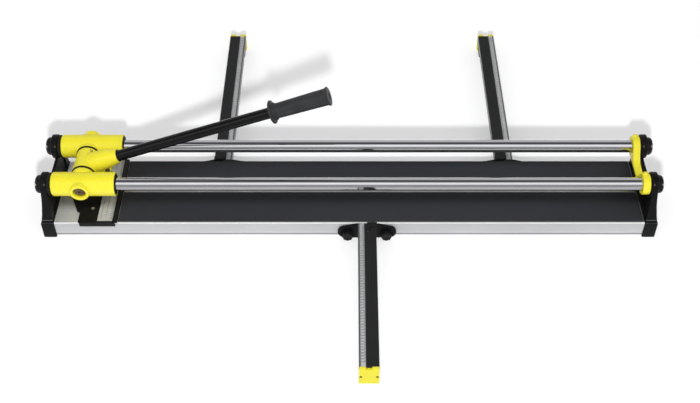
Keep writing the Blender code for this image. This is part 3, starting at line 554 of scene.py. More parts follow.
def build_bracket_fittings(end, side):
    """A bracket's set screws over the rails, its bolts into the base, and two ledges on each post, light grey
    so that they paint the highlights along the post's edges.
    """
    depth = high("end_bracket_" + end).y
    slotted = [(0, 1.2), (1.6, 1.2), (1.7, 2.6), (2.9, 2.6), (3.2, 2.2), (3.2, -6), (0, -6)]
    screws, bolts, highlight_ridges = [], [], []
    for s in BOTH_SIDES:
        screw = Vector((side * SET_SCREW_X, s * RAIL_Y, RAIL_Z)) + SET_SCREW_OUT * 34.2
        screws.append(turned(slotted, screw, SET_SCREW_OUT, 24))
        bolt = (side * 946.4, s * BRACKET_BOLT_Y, BRACKET_BOLT_Z)
        bolts.append(screw_head(bolt, X * side, 6.0, 5.0))
        # two thin ledges per post, light grey so that their colour paints the highlights on the edges of the
        # post's foot
        highlight_ridges.append(soft_box((side * 915, side * 950.5), (s * (depth - 3.6), s * (depth - 0.6)),
                               (59.4, 61.8), 0.6, 2))
        highlight_ridges.append(soft_box((side * 915.2, side * 948.2), (s * (depth - 8.0), s * (depth - 4.2)),
                               (71.0, 73.6), 0.6, 2))
    piece(merged(screws), "rail_set_screws_" + end, "dark_bronze", "base", "zinc_steel")
    piece(merged(highlight_ridges), "bracket_highlight_ridges_" + end, "grey_aluminium", "base", "black_casting")
    piece(merged(bolts), "bracket_bolts_" + end, "steel", "base", "zinc_steel", sharp=30)


def build_rail(node):
    """A chromed tube, with a rubber buffer against the bracket at each end."""
    a, b = low(node), high(node)
    y, length = middle(node).y, b.x - a.x
    bore, rim = RAIL_R - 3.5, RAIL_R - 0.6
    profile = [(bore, length), (rim, length), (RAIL_R, length - 0.6), (RAIL_R, 0.6), (rim, 0), (bore, 0)]
    rail = turned(profile, (a.x, y, RAIL_Z), X, 128, ring=True)
    piece(rail, node + "_chrome", "chrome", "base", "chrome", node, sharp=30)
    for end, start, width, r in (("left", -914.7, 8.6, 35.0), ("right", 911.8, 3.1, 31.0)):
        profile = [(r - 1, width), (r, width - 1), (r, 1), (r - 1, 0), (RAIL_HOLE_R, 0), (RAIL_HOLE_R, width)]
        buffer = turned(profile, (start, y, RAIL_Z), X, 96, ring=True)
        piece(buffer, f"{node}_buffer_{end}", "rubber", "base", "black_rubber", sharp=40)


def build_rail_cap(node, side):
    """A round cap over a rail's end, with a groove near its mouth and a small pin on its rim."""
    a, b = low(node), high(node)
    depth, r, rim_r = b.x - a.x, (b.z - a.z) / 2, 10
    profile = [(0, depth - 1.2), (11, depth - 1.2), (12.4, depth - 0.2)]
    profile += arc((r - rim_r, depth - rim_r), rim_r, 90, 0, 12)[1:]
    profile += [(r, 3.4), (r - 0.7, 3.0), (r - 0.7, 2.2), (r, 1.8), (r, 0.4), (r - 0.4, 0), (RAIL_HOLE_R, 0),
                (RAIL_HOLE_R, 13.0), (0, 13.0)]
    mouth = Vector((b.x if side < 0 else a.x, middle(node).y, RAIL_Z))
    cap = turned(profile, mouth, X * side, 64)
    piece(cap, node + "_moulding", "black_plastic", "base", "black_rubber", node, sharp=30)
    place = mouth + X * side * (depth - 4.6) + SET_SCREW_OUT * (r - 1.6)
    out = (X * side * 0.45 + SET_SCREW_OUT).normalized()
    pin = turned([(0, 1.1), (2.8, 1.1), (3.3, 0.6), (3.3, -5), (0, -5)], place, out, 32)
    piece(pin, node + "_pin", "steel", "base", "zinc_steel", sharp=40)


def build_stop_plate():
    """The yellow tie: a ring round each rail, a dip between them and a small boss on each ring."""
    a, b = low("stop_plate"), high("stop_plate")
    ring_arc = arc((RAIL_Y, RAIL_Z), b.y - RAIL_Y, -103.6, 140, 60)
    dip = [(53.5, 189.0), (47.5, 179.0), (41.5, 171.0), (35.0, 165.0), (28.0, 160.8), (20.0, 158.2),
           (10.0, 157.1)]
    tie = outline(both(ring_arc + dip), "X", (a.x, b.x))
    boss_angle = math.radians(62)
    out = Vector((0, math.cos(boss_angle), math.sin(boss_angle)))
    bosses, bores = [], []
    for s in BOTH_SIDES:
        at = Vector(((a.x + b.x) / 2, s * RAIL_Y, RAIL_Z))
        bosses.append(rod(at + out * 22, at + out * 37.5, 8.0))
        bores.append(rod(at - X * 30, at + X * 30, RAIL_HOLE_R, sides=96))
        bores.append(rod(at + out * 36.2, at + out * 40, 3.2, sides=24))
    tie = cast(cut(combine(tie, bosses), bores), 1.0, 5)
    piece(tie, "stop_plate_casting", "yellow", "base", "yellow_paint", "stop_plate", sharp=80)


# ---------------------------------------------------------------- carriage

def build_housing(end, side):
    """A sleeve on a rail, with a boss on each side of it for the axle's screw and the lever."""
    node = "housing_" + end
    a, b = low(node), high(node)
    y, r, length = side * RAIL_Y, (b.z - a.z) / 2, b.x - a.x
    bush_seat_r, seal_seat_r, seal_depth = 23.3, 32.6, 4.9
    round_end = [(r - 9 + 9 * math.sin(i * math.pi / 16), length - 7 + 7 * math.cos(i * math.pi / 16))
                 for i in range(9)]
    shell = [(bush_seat_r, length)] + round_end + [
        (r, 2.0), (r - 1.2, 0.4), (r - 2.0, 0), (seal_seat_r, 0), (seal_seat_r, seal_depth),
        (bush_seat_r, seal_depth)]
    sleeve = turned(shell, (b.x, y, RAIL_Z), -X, 96, ring=True)
    out = Y * side
    outer = rod(PIVOT + out * (RAIL_Y + 24.5), PIVOT + out * max(abs(a.y), abs(b.y)), 29.5, sides=96)
    inner = rod(PIVOT + out * 47.0, PIVOT + out * 60.4, 34.6, sides=96)
    recess = rod(PIVOT + out * 113.0, PIVOT + out * 135, 19.6)
    blind = rod(PIVOT + out * 42.0, PIVOT + out * 60.3, 10.4, sides=48)
    solid = cast(cut(combine(sleeve, [outer, inner]), [recess, blind]), 1.2, 7)
    piece(solid, node + "_casting", "yellow", "carriage", "yellow_paint", node, sharp=80)


def build_housing_fittings(end, side):
    """A housing's wiper seal, the slotted screw in its outer boss and the washer inside its inner boss."""
    mouth = Vector((high("housing_" + end).x + 0.4, side * RAIL_Y, RAIL_Z))
    seal = [(32.0, 4.4), (32.0, 0.8), (31.2, 0), (27, 0), (26, 0.9), (24.5, 0.9), (23.5, 0), (21.2, 0),
            (20.45, 0.8), (20.45, 4.4)]
    seal = turned(seal, mouth, -X, 96, ring=True)
    piece(seal, f"wiper_{end}", "rubber", "carriage", "black_rubber", "wiper_seal_" + end, sharp=40)
    out = Y * side
    plug = [(0, 4), (4.6, 4), (5.2, 7.6), (13.6, 7.6), (15.2, 6.4), (15.2, 1.5), (19.2, 1.2), (19.2, 0),
            (0, 0)]
    plug = turned(plug, PIVOT + out * 113.4, out, 48)
    slot = box((PIVOT.x - 14, PIVOT.x + 14), (side * 119.6, side * 123), (RAIL_Z - 1.4, RAIL_Z + 1.4))
    plug = bevelled(cut(plug, [slot]), 0.25, 1, 30)
    piece(plug, f"boss_screw_{end}", "bronze", "carriage", "bronze")
    washer = [(36.4, 4.4), (37.2, 3.8), (37.2, 0.6), (36.4, 0), (10.6, 0), (10.6, 4.4)]
    washer = turned(washer, PIVOT + out * 42.2, out, 96, ring=True)
    piece(washer, "thrust_washer_" + end, "rubber", "carriage", "black_rubber", sharp=40)


def build_axle():
    axle = turned([(0, 120), (9, 120), (10, 119), (10, 1), (9, 0), (0, 0)], PIVOT - Y * 60, Y, 64)
    piece(axle, "pivot_shaft", "steel", "carriage", "zinc_steel", "pivot_axle", sharp=30)


# ---------------------------------------------------------------- lever

def on_handle(distance):
    """A point along the handle's axis from the pivot."""
    return PIVOT + ALONG_HANDLE * distance


def across(place, half, radius, sides=48):
    """A rod along Y through a place beside the pivot."""
    centre = PIVOT + Vector((place[0], 0, place[-1]))
    return rod(centre - Y * half, centre + Y * half, radius, sides=sides)


def build_lever_head():
    """The lever's casting: barrel, neck, wheel holder's block, breaker's arm and the clamp's lug."""
    px, pz = PIVOT.x, PIVOT.z
    wheel_x, breaker_x, breaker_z = px + WHEEL.x, px + BREAKER.x, pz + BREAKER.z
    barrel = across((0, 0), 41.6, 35.0, 96)
    neck = turned([(0, NECK_END), (20.0, NECK_END), (21.8, 111.6), (23.6, 104), (28.6, 81), (31.0, 63),
                   (32.6, 47), (33.4, 30), (33.6, 18), (0, 18)], PIVOT, ALONG_HANDLE, 96)
    holder_block = soft_box((wheel_x - 13, wheel_x + 15), (-13, 13), (pz - 66, pz - 14), 2.5)
    arm = outline([(px + 2, pz - 22)] + arc((breaker_x, breaker_z), 14, -140, 30, 20) + [(px + 48, pz)],
                  "Y", (-9, 9))
    lug = across((LUG_X, 0), 22, 11.5, 64)
    web = box((px + LUG_X - 12, px + LUG_X + 11), (-21.5, 21.5), (pz, pz + 16))
    solid = combine(barrel, [neck, holder_block, arm, lug, web])
    cuts = [
        across((0, 0), 49, 10.4),
        rod(on_handle(61.7), on_handle(120), 17.35),
        box((wheel_x - 7.3, wheel_x + 7.3), (-7.3, 7.3), (pz - 80, pz - 39.7)),
        across(BREAKER, 14, 5.3, 32),
        rod(PIVOT - Y * 47, PIVOT - Y * 31, 16.0),
    ]
    solid = cast(cut(solid, cuts), 1.1, 7)
    piece(solid, "lever_head_casting", "yellow", "lever", "yellow_paint", "lever_head", sharp=80)


def build_handle():
    """The coated tube in the neck and the seal round it."""
    tube = turned([(14, 736), (16.6, 736), (17, 735.6), (17, 0.4), (16.6, 0), (14, 0)], on_handle(62),
                  ALONG_HANDLE, 96, ring=True)
    piece(tube, "lever_tube_coated", "tube", "lever", "black_tube", "lever_tube", sharp=30)
    collar = turned([(17.2, 1.6), (18.6, 1.2), (19.6, 0.2), (19.6, -0.6), (17.2, -0.6)], on_handle(NECK_END),
                    ALONG_HANDLE, 64, ring=True)
    piece(collar, "lever_socket_seal", "rubber", "lever", "black_rubber")


def build_grip():
    """The moulded grip: guard disc, collar, finely ribbed barrel and a flared end."""
    bore, length = 17.3, 184.0
    first, last, count = 30.0, 172.0, 44
    step = (last - first) / count
    ribs = []
    for i in range(count):
        h = last - step * i
        r = 23.0 + 2.3 * (h - first) / (last - first)
        ribs += [(r + 0.3, h), (r + 0.3, h - step * 0.62), (r, h - step * 0.72), (r, h - step * 0.92)]
    end = [(0, length - 2.2), (9, length - 2.2), (11, length), (26.4, length), (28.2, length - 0.8),
           (29.0, length - 2.4), (28.6, length - 4.2), (27.2, length - 6.0), (25.9, length - 8.0),
           (25.6, length - 10)]
    guard = [(23.2, 19.0), (23.4, 16.6), (25.4, 16.2), (26.8, 15.0), (27.2, 13.0), (26.9, 10.6), (27.6, 9.4),
             (32.5, 8.6), (35.0, 7.2), (36.0, 4.6), (35.2, 2.0), (33.4, 0.6), (29, 0.2), (22, 1.2),
             (19.2, 1.2), (18.2, 0.2), (bore, 0.2)]
    grip = turned(end + ribs + guard + [(bore, 176.3), (0, 176.3)], on_handle(622), ALONG_HANDLE, 96)
    piece(grip, "handle_grip_moulding", "grip", "lever", "black_rubber", "handle_grip", sharp=45)


def build_lever_screws():
    """The bolt through the lug, the grub screw in the barrel and the screw that holds the wheel's fork."""
    clamp = turned([(0, 60), (3.4, 60), (3.6, 57.2), (6.6, 57.2), (7.2, 56.6), (7.2, 51), (4, 51), (4, 2),
                    (6.8, 2), (6.8, -4), (0, -4)], PIVOT + X * LUG_X + Y * 29, -Y, 24)
    piece(clamp, "lever_clamp_bolt", "dark_bronze", "lever", "dark_steel", sharp=30)
    grub_angle = math.radians(63)
    out = Vector((math.cos(grub_angle), 0, math.sin(grub_angle)))
    grub = turned([(0, -1.0), (2.2, -1.0), (2.4, 0.6), (4.2, 0.6), (4.9, -0.2), (4.9, -8), (0, -8)],
                  PIVOT + Y * 30 + out * 35.2, out, 6)
    piece(bevelled(grub, 0.3, 2, 30), "barrel_grub_screw", "bronze", "lever", "zinc_steel", sharp=30)
    side_screw = screw_head(PIVOT + X * (WHEEL.x + 15) - Z * 55, X, 5.0, 4.0)
    piece(side_screw, "wheel_holder_screw", "dark_steel", "lever", "dark_steel", sharp=30)


def build_wheel():
    """The scoring wheel, with its bevelled cutting edge, and the fork that holds it."""
    wheel_x, pz = PIVOT.x + WHEEL.x, PIVOT.z
    fork = box((wheel_x - 7, wheel_x + 7), (-7, 7), (pz - 92, pz - 40))
    slot = box((wheel_x - 20, wheel_x + 20), (-2.2, 2.2), (pz - 100, pz - 74))
    fork = bevelled(cut(fork, [slot, across(WHEEL, 12, 2.8, 32)]), 0.7, 2)
    piece(fork, "wheel_fork", "steel", "lever", "zinc_steel", "wheel_holder")
    rim = [(11.0, 0), (8.4, 1.35), (7.4, 1.5), (4.5, 1.5), (4.2, 1.9), (2.8, 1.9), (2.8, -1.9), (4.2, -1.9),
           (4.5, -1.5), (7.4, -1.5), (8.4, -1.35)]
    disc = turned(list(reversed(rim)), PIVOT + WHEEL, Y, 96, ring=True)
    piece(disc, "scoring_disc", "carbide", "scoring_wheel", "carbide", "scoring_wheel", sharp=25)


def build_pin(name, node, look, centre, slot):
    """A plain pin along Y with broken edges."""
    a, b = low(node), high(node)
    r, length = (b.z - a.z) / 2, b.y - a.y
    pin = turned([(0, length), (r - 0.5, length), (r, length - 0.5), (r, 0.5), (r - 0.5, 0), (0, 0)],
                 PIVOT + centre + Y * a.y, Y, 48)
    piece(pin, name, look, "lever", slot, node)


def build_spring():
    """The torsion spring round the axle, inside the barrel's recess."""
    a, b = low("return_spring"), high("return_spring")
    wire_r, coil_r, turns, steps = 0.9, 13, 4.5, 28
    curve = bpy.data.curves.new("spring", "CURVE")
    curve.dimensions = "3D"
    curve.bevel_depth = wire_r * MM
    curve.bevel_resolution = 3
    curve.use_fill_caps = True
    spline = curve.splines.new("POLY")
    count = int(turns * steps)
    spline.points.add(count)
    for i in range(count + 1):
        t = 2 * math.pi * i / steps
        y = a.y + 1 + (b.y - a.y - 2) * i / count
        x, z = PIVOT.x + coil_r * math.cos(t), PIVOT.z + coil_r * math.sin(t)
        spline.points[i].co = (x * MM, y * MM, z * MM, 1)
    coil = settle(link(bpy.data.objects.new("spring", curve)))
    piece(coil, "torsion_spring", "steel", "lever", "zinc_steel", "return_spring", sharp=80)


def build_breaker():
    """The swinging foot that presses on both halves of the tile, with its ribbed rubber sole."""
    x, z = PIVOT.x + BREAKER.x, PIVOT.z + BREAKER.z
    half_x, half_y, rib_count = 15, 45, 12
    cheek = [(x + 14.5, z - 34), (x + 14.5, z - 22)] + arc((x, z), 11, 0, 180, 24) + [
        (x - 14.5, z - 22), (x - 14.5, z - 34)]
    cheeks = [outline(cheek, "Y", (s * 9.8, s * 17.7)) for s in BOTH_SIDES]
    beam = outline([(-half_y, z - 36), (half_y, z - 36), (half_y, z - 31), (30, z - 25), (-30, z - 25),
                    (-half_y, z - 31)], "X", (x - half_x, x + half_x))
    solid = cut(combine(beam, cheeks), [across(BREAKER, 20, 5.3, 32)])
    solid = cast(solid, 0.9, 4)
    piece(solid, "breaker_casting", "yellow", "breaker", "yellow_paint", "breaker_foot", sharp=80)
    ribs = []
    for i in range(rib_count):
        y = 2 * half_y * i / rib_count - half_y
        ribs += [(y + 0.6, z - 43), (y + 5.4, z - 43), (y + 6.2, z - 42), (y + 7.3, z - 42)]
    shape = [(-half_y, z - 36.3), (-half_y, z - 42)] + ribs[:-1] + [(half_y, z - 42), (half_y, z - 36.3)]
    sole = outline(shape, "X", (x - half_x, x + half_x))
    piece(sole, "breaker_sole", "rubber", "breaker", "black_rubber", "breaker_pad", sharp=30)


# ---------------------------------------------------------------- side arms

def arm_x(name, u):
    """The x of a place on an arm, at u across it from the edge that its ruler lies along."""
    a, b = low(name + "_profile"), high(name + "_profile")
    return b.x - u if ARMS[name] > 0 else a.x + u


def arm_root(name):
    return min(abs(low(name + "_profile").y), abs(high(name + "_profile").y))


def build_arm_profile(name):
    """The arm's extrusion, with a seat for the ruler, a low seat for the strip and a slot below."""
    a, b = low(name + "_profile"), high(name + "_profile")
    bottom, top, width, wall = a.z, b.z, b.x - a.x, 2.5
    ruler_seat, strip_seat, roof, floor = top - 1.8, top - 4.0, 58.5, bottom + wall
    section = [
        (0.8, bottom), (0, bottom + 0.8), (0, top - 0.8), (0.8, top), (4.0, top), (4.6, top - 0.6),
        (4.6, ruler_seat), (19.2, ruler_seat), (19.2, 60.5), (20.7, 60.5), (20.7, strip_seat),
        (width, strip_seat), (width, bottom + 0.8), (width - 0.8, bottom), (width - 14.3, bottom),
        (width - 14.3, floor), (width - wall, floor), (width - wall, roof), (wall, roof), (wall, floor),
        (14.3, floor), (14.3, bottom)]
    profile = outline([(arm_x(name, u), z) for u, z in section], "Y", (a.y, b.y))
    piece(profile, name + "_extrusion", "grey_aluminium", name, "grey_aluminium", name + "_profile", sharp=20)


def build_arm_ruler(name, side):
    """The arm's ruler, numbered in centimetres outwards from the base."""
    p, q = low(name + "_ruler"), high(name + "_ruler")
    ruler = soft_box(*spans(name + "_ruler"), 0.35, 2)
    piece(ruler, name + "_scale", "ruler", name, "ruler_silver", name + "_ruler")
    count = int((q.y - p.y - 20) // 10)
    first, face = arm_root(name) + 14, q.z + 0.03
    ticks = tick_rows(arm_x(name, 18.5), side, side * first, side * 5.0, 2 * count, face, 3.8, 6.6)
    start = (arm_x(name, 8.6), side * (first + 10 - 2.2 * side))
    numbers = number_rows(range(1, count + 1), start, 10.0, 6.4, face, side)
    piece(merged(ticks + [numbers]), name + "_scale_marks", "marks", name, "ruler_silver")


def build_arm_strip(name, side):
    """The arm's ribbed rubber strip and the screw at its root."""
    p, q = low(name + "_strip"), high(name + "_strip")
    rib_count, groove = 8, q.z - 1.8
    pitch = (q.x - p.x) / rib_count
    ribs = [(q.x, p.z), (q.x, q.z - 0.6)]
    for i in range(rib_count):
        x = q.x - i * pitch
        ribs += [(x - pitch * 0.16, q.z), (x - pitch * 0.72, q.z), (x - pitch * 0.80, groove),
                 (x - pitch * 0.96, groove)]
    ribs += [(p.x, groove), (p.x, p.z)]
    strip = outline(ribs, "Y", (p.y, q.y))
    piece(strip, name + "_ribbed_strip", "strip", name, "black_rubber", name + "_strip", sharp=30)
    head = screw_head((arm_x(name, 30), side * (arm_root(name) + 33), q.z - 1.2), Z, 3.4, 1.7)
    piece(head, name + "_root_screw", "steel", name, "dark_steel", sharp=30)


def build_arm_end(name, side):
    """The yellow end plate with its notch and its two screws."""
    p, q = low(name + "_end_cap"), high(name + "_end_cap")
    inner, outer = (q.y, p.y) if side < 0 else (p.y, q.y)
    x, half, top = (p.x + q.x) / 2, (q.x - p.x) / 2, q.z
    face = [(half, 0.0), (half - 0.4, top - 7)] + arc((half - 5.4, top - 5), 5, 0, 90, 6)
    face += [(10.0, top), (9.0, top - 0.6), (8.2, top - 5.6), (7.2, top - 6.6)]
    cap = outline([(x + u, z) for u, z in both(face)], "Y", (inner, outer))
    cap = bevelled(cap, 1.2, 3, 50)
    spots = [Vector((x + s * 23.0, outer, 30.0)) for s in BOTH_SIDES]
    out = Y * side
    dimples = [rod(spot - out * 1.8, spot + out * 5, 4.6, sides=48) for spot in spots]
    piece(cut(cap, dimples), name + "_end_plate", "yellow", name, "yellow_paint", name + "_end_cap", sharp=40)
    screws = [screw_head(spot - out * 1.9, out, 3.9, 1.5) for spot in spots]
    piece(merged(screws), name + "_end_screws", "dark_steel", name, "zinc_steel", sharp=30)


def build_arm_foot(name):
    """The black block that the arm's end stands on, with two grooves round it."""
    x, y, z = spans(name + "_foot")
    foot = soft_box(x, y, z, 2.5)
    grooves = [box((x[0] - 1, x[1] + 1), (y[0] - 1, y[1] + 1), (h, h + 1.2)) for h in (8.0, 12.0)]
    core = soft_box((x[0] + 1.2, x[1] - 1.2), (y[0] + 1.2, y[1] - 1.2), (4, 20), 2.0, 2)
    foot = combine(cut(foot, grooves), [core])
    piece(foot, name + "_foot_block", "black_plastic", name, "black_casting", name + "_foot", sharp=40)


def build_clamp(name, side):
    """The clamp bracket: a wing each side of the arm, a wall behind it and a tongue inside it."""
    x, root, notch = middle(name + "_profile").x, arm_root(name), 28.45
    half = arc((66.5, 28.5), 24.4, -90, 78, 24) + [(58, 55.4), (40, 60.2), (34, 61.3), (notch, 61.3),
                                                   (notch, 37.7)]
    wings = outline([(x + u, z) for u, z in both(half)], "Y", (side * BASE_SIDE, side * KNOB_FACE))
    rear_wall = box((x - 28.0, x + 28.0), (side * BASE_SIDE, side * (root - GAP)), (30, 61.5))
    tongue = soft_box((x - 20, x + 20), (side * (root - 2), side * (root + 92)), (41, 58), 2.0)
    cuts = [box((x - 69.5, x + 69.5), (side * 136, side * 143.3), (12.5, 16.0))]
    for s in BOTH_SIDES:
        stud = Vector((x + s * KNOB_SPACING, 0, KNOB_Z))
        cuts.append(rod(stud + Y * side * 130, stud + Y * side * 160, 4.4, sides=24))
        pocket = stud + Z * 4
        cuts.append(rod(pocket + Y * side * (KNOB_FACE - 1.6), pocket + Y * side * 160, 20.5))
    solid = cast(cut(combine(wings, [rear_wall, tongue]), cuts), 1.0, 4)
    piece(solid, name + "_clamp_casting", "black", name, "black_casting", name + "_clamp", sharp=80)


def build_root_cover(name, side):
    """The stepped cover over the arm's root, beside the ruler."""
    plan = [(29.5, 141.4), (55.4, 141.4), (57.6, 143.2), (57.6, 156.0), (54.0, 161.0), (41.0, 163.0),
            (33.0, 176.0), (27.0, 176.0), (23.6, 168.0), (23.6, 151.0)]
    step_plan = [(36, 143.0), (53, 143.0), (53, 151), (46, 155), (36, 152)]
    cover = outline([(arm_x(name, u), side * y) for u, y in plan], "Z", (58.0, 69.2))
    step = outline([(arm_x(name, u), side * y) for u, y in step_plan], "Z", (66.0, 70.8))
    wall = box((arm_x(name, 56.5), arm_x(name, 58.4)), (side * 140.2, side * 156), (52.0, 66.0))
    cover = cast(combine(cover, [step, wall]), 0.8, 4)
    piece(cover, name + "_root_cover", "black_plastic", name, "black_casting", sharp=80)


def build_groove_bar(name, side):
    """The steel bar in the base's groove that the knobs' studs pull against."""
    p, q = low(name + "_slot_bar"), high(name + "_slot_bar")
    head = soft_box((p.x, q.x), (side * 127.6, side * 136.0), (10.7, q.z), 0.8, 2)
    neck = box((p.x + 0.5, q.x - 0.5), (side * 134.5, side * (arm_root(name) - GAP)), (12.8, 15.7))
    piece(combine(head, [neck]), name + "_groove_bar", "steel", name, "zinc_steel", name + "_slot_bar")


def build_knob(name, x, side):
    """A knob with eight finger flutes, a dished face and a steel stud."""
    radius, flutes, flute_depth, sides, start = 16.8, 8, 1.5, 144, KNOB_FACE + GAP
    levels = [(0.70, 0.0), (0.92, 1.0), (0.985, 2.6), (1.0, 5.0), (1.0, 11.5), (0.985, 14.4), (0.93, 16.4),
              (0.84, 17.5), (0.60, 17.6), (0.54, 16.6), (0.28, 16.6)]
    bm = bmesh.new()
    rings = []
    for scale, height in levels:
        depth = flute_depth * min(1.0, max(0.0, (scale - 0.6) / 0.3))
        loop = []
        for i in range(sides):
            t = 2 * math.pi * i / sides
            r = radius * scale - depth * (0.5 - 0.5 * math.cos(flutes * t)) ** 2
            place = (x + r * math.cos(t), side * (start + height), KNOB_Z + r * math.sin(t))
            loop.append(bm.verts.new(place))
        rings.append(loop)
    for first, second in zip(rings, rings[1:]):
        for i in range(sides):
            j = (i + 1) % sides
            bm.faces.new((first[i], first[j], second[j], second[i]))
    bm.faces.new(rings[0])
    bm.faces.new(rings[-1])
    bmesh.ops.recalc_face_normals(bm, faces=bm.faces)
    piece(from_bmesh(bm), name + "_fluted", "black_plastic", name, "black_casting", name, sharp=50)
    stud = turned([(0, 8.5), (3.4, 8.5), (4.0, 7.9), (4.0, -0.5), (0, -0.5)],
                  (x, side * (start + 0.3), KNOB_Z), -Y * side, 32)
    piece(stud, name + "_stud", "steel", name, "zinc_steel")


def build_arm(name, side):
    """One side arm and its clamp; the rear arms are the front one turned half round."""
    build_arm_profile(name)
    build_arm_ruler(name, side)
    build_arm_strip(name, side)
    build_arm_end(name, side)
    build_arm_foot(name)
    build_clamp(name, side)
    build_root_cover(name, side)
    build_groove_bar(name, side)
    for label, s in zip("ab", BOTH_SIDES):
        build_knob(f"{name}_knob_{label}", middle(name + "_profile").x + s * KNOB_SPACING, side)


# ---------------------------------------------------------------- studio, in metres

# bands of light and dark: (degrees from the front horizon, over the top, to the back; brightness)
SKY_BANDS = ((0, 0.30), (9, 0.26), (24, 0.40), (38, 0.95), (48, 1.12), (60, 0.98), (74, 0.34), (90, 0.04),
             (104, 0.05), (118, 0.30), (136, 0.62), (154, 0.58), (180, 0.36))


def build_camera():
    camera = bpy.data.cameras.new("camera")
    camera.sensor_width = 36.0
    camera.lens = 55.19
    camera.clip_end = 400.0
    obj = link(bpy.data.objects.new("camera", camera))
    obj.location = (0.002, -2.4214, 2.4645)
    obj.rotation_euler = (math.radians(44.673), 0, 0)
    bpy.context.scene.camera = obj


def build_sky():
    """The studio as the shiny parts mirror it: bands from the front, overhead, to the back."""
    world = bpy.data.worlds.new("studio")
    bpy.context.scene.world = world
    world.use_nodes = True
    tree = world.node_tree
    node = node_maker(tree)
    ray = node("ShaderNodeSeparateXYZ", {"Vector": node("ShaderNodeTexCoord").outputs["Generated"]})
    forward = node("ShaderNodeMath", {0: ray.outputs["Y"], 1: -1.0}, operation="MULTIPLY")
    angle = node("ShaderNodeMath", {0: ray.outputs["Z"], 1: forward.outputs["Value"]}, operation="ARCTAN2")
    share = node("ShaderNodeMath", {0: angle.outputs["Value"], 1: math.pi}, operation="DIVIDE")
    ramp = node("ShaderNodeValToRGB", {"Fac": share.outputs["Value"]})
    tree.links.new(ramp.outputs["Color"], tree.nodes["Background"].inputs["Color"])
    stops = ramp.color_ramp.elements
    for _ in SKY_BANDS[2:]:
        stops.new(1.0)
    for stop, (degrees, value) in zip(stops, SKY_BANDS):
        stop.position = degrees / 180
        stop.color = (value, value, value * 1.02, 1)


def stage_object(name, bm, material):
    """An object of the studio, made of a mesh in metres."""
    mesh = bpy.data.meshes.new(name)
    bm.to_mesh(mesh)
    bm.free()
    mesh.materials.append(material)
    return link(bpy.data.objects.new(name, mesh))


def build_floor():
    paper, _, shader, _ = graph("paper_sweep")
    shader.inputs["Base Color"].default_value = (0.93, 0.93, 0.93, 1)
    shader.inputs["Roughness"].default_value = 0.9
    shader.inputs["Specular IOR Level"].default_value = 0.0
    bm = bmesh.new()
    bmesh.ops.create_circle(bm, cap_ends=True, segments=96, radius=150.0)
    floor = stage_object("floor", bm, paper)
    floor.location = (0, 0, -0.0002)
    return floor


def build_reflector():
    """A glowing grey card over the floor in front, which only reflections see; it darkens to the front."""
    card_look, tree, shader, node = graph("grey_card")
    place = node("ShaderNodeNewGeometry").outputs["Position"]
    depth = node("ShaderNodeSeparateXYZ", {"Vector": place}).outputs["Y"]
    glow = node("ShaderNodeMapRange", {"Value": depth, "From Min": -1.3, "From Max": -0.5, "To Min": 0.34,
                                       "To Max": 0.58}).outputs["Result"]
    shader.inputs["Base Color"].default_value = (0, 0, 0, 1)
    shader.inputs["Specular IOR Level"].default_value = 0.0
    shader.inputs["Emission Color"].default_value = (1, 1, 1, 1)
    tree.links.new(glow, shader.inputs["Emission Strength"])
    bm = bmesh.new()
    bmesh.ops.create_grid(bm, x_segments=2, y_segments=2, size=1.0)
    card = stage_object("reflector", bm, card_look)
    card.scale = (6.0, 5.92, 1.0)
    card.location = (0, -6.08, 0.001)
    card.visible_camera = False
    card.visible_diffuse = False
    card.visible_shadow = False
    card.visible_transmission = False


def add_light(name, kind, energy, place=(0, 0, 0), direction=(0, 0, -1)):
    light = bpy.data.lights.new(name, kind)
    light.energy = energy
    obj = link(bpy.data.objects.new(name, light))
    obj.location = place
    obj.rotation_euler = Vector(direction).to_track_quat("-Z", "Y").to_euler()
    return obj


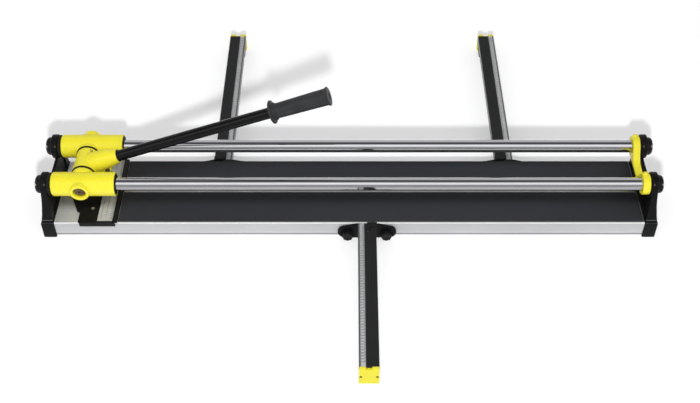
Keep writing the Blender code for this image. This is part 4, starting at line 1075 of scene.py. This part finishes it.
def build_lights(floor):
    """Soft lights for the object, and a flat light and a lamp for the floor and the shadows on it."""
    floor_only = bpy.data.collections.new("floor_only")
    floor_only.objects.link(floor)
    all_but_floor = bpy.data.collections.new("all_but_floor")
    all_but_floor.objects.link(floor)
    all_but_floor.collection_objects[0].light_linking.link_state = "EXCLUDE"

    aim = Vector((0, 0, 0.1))
    for name, power, place, size in (("key", 80, (-0.25, -1.75, 3.4), (2.4, 1.0)),
                                     ("front_fill", 9, (0.0, -3.4, 1.0), (3.4, 1.2))):
        soft = add_light(name, "AREA", power, place, aim - Vector(place))
        soft.data.shape = "RECTANGLE"
        soft.data.size, soft.data.size_y = size
        soft.visible_glossy = False
        soft.light_linking.receiver_collection = all_but_floor

    fill = add_light("floor_fill", "SUN", 0.98)
    fill.data.angle = math.radians(20)
    fill.light_linking.receiver_collection = floor_only
    fill.light_linking.blocker_collection = floor_only

    lamp = add_light("floor_shadow", "POINT", 25.5, (0.0, -2.95, 2.25))
    lamp.data.shadow_soft_size = 0.09
    lamp.visible_glossy = False
    lamp.light_linking.receiver_collection = floor_only
    lamp.data.use_nodes = True
    tree = lamp.data.node_tree
    even = node_maker(tree)("ShaderNodeLightFalloff", {"Strength": 1.0})
    tree.links.new(even.outputs["Constant"], tree.nodes["Emission"].inputs["Strength"])


build_camera()
build_sky()
build_lights(build_floor())
build_reflector()
bpy.context.scene.view_settings.view_transform = "Standard"

build_extrusion()
build_pads()
build_breaking_bar()
build_middle_foot()
build_fence()
build_fence_scale()
for end_name, end_side in ENDS.items():
    build_bracket(end_name, end_side)
    build_bracket_fittings(end_name, end_side)
    for rail_name in ("front", "rear"):
        build_rail_cap(f"{rail_name}_rail_cap_{end_name}", end_side)
build_rail("front_rail")
build_rail("rear_rail")
build_stop_plate()
for housing_name, housing_side in HOUSINGS.items():
    build_housing(housing_name, housing_side)
    build_housing_fittings(housing_name, housing_side)
    frame["nodes"]["bush_" + housing_name].material_slots[0].material = LOOKS["bronze"]
build_axle()
build_lever_head()
build_handle()
build_grip()
build_lever_screws()
build_wheel()
build_pin("wheel_pin", "wheel_axle", "dark_steel", WHEEL, "dark_steel")
build_pin("breaker_pivot_pin", "breaker_pin", "steel", BREAKER, "zinc_steel")
build_spring()
build_breaker()
for arm_name, arm_side in ARMS.items():
    build_arm(arm_name, arm_side)
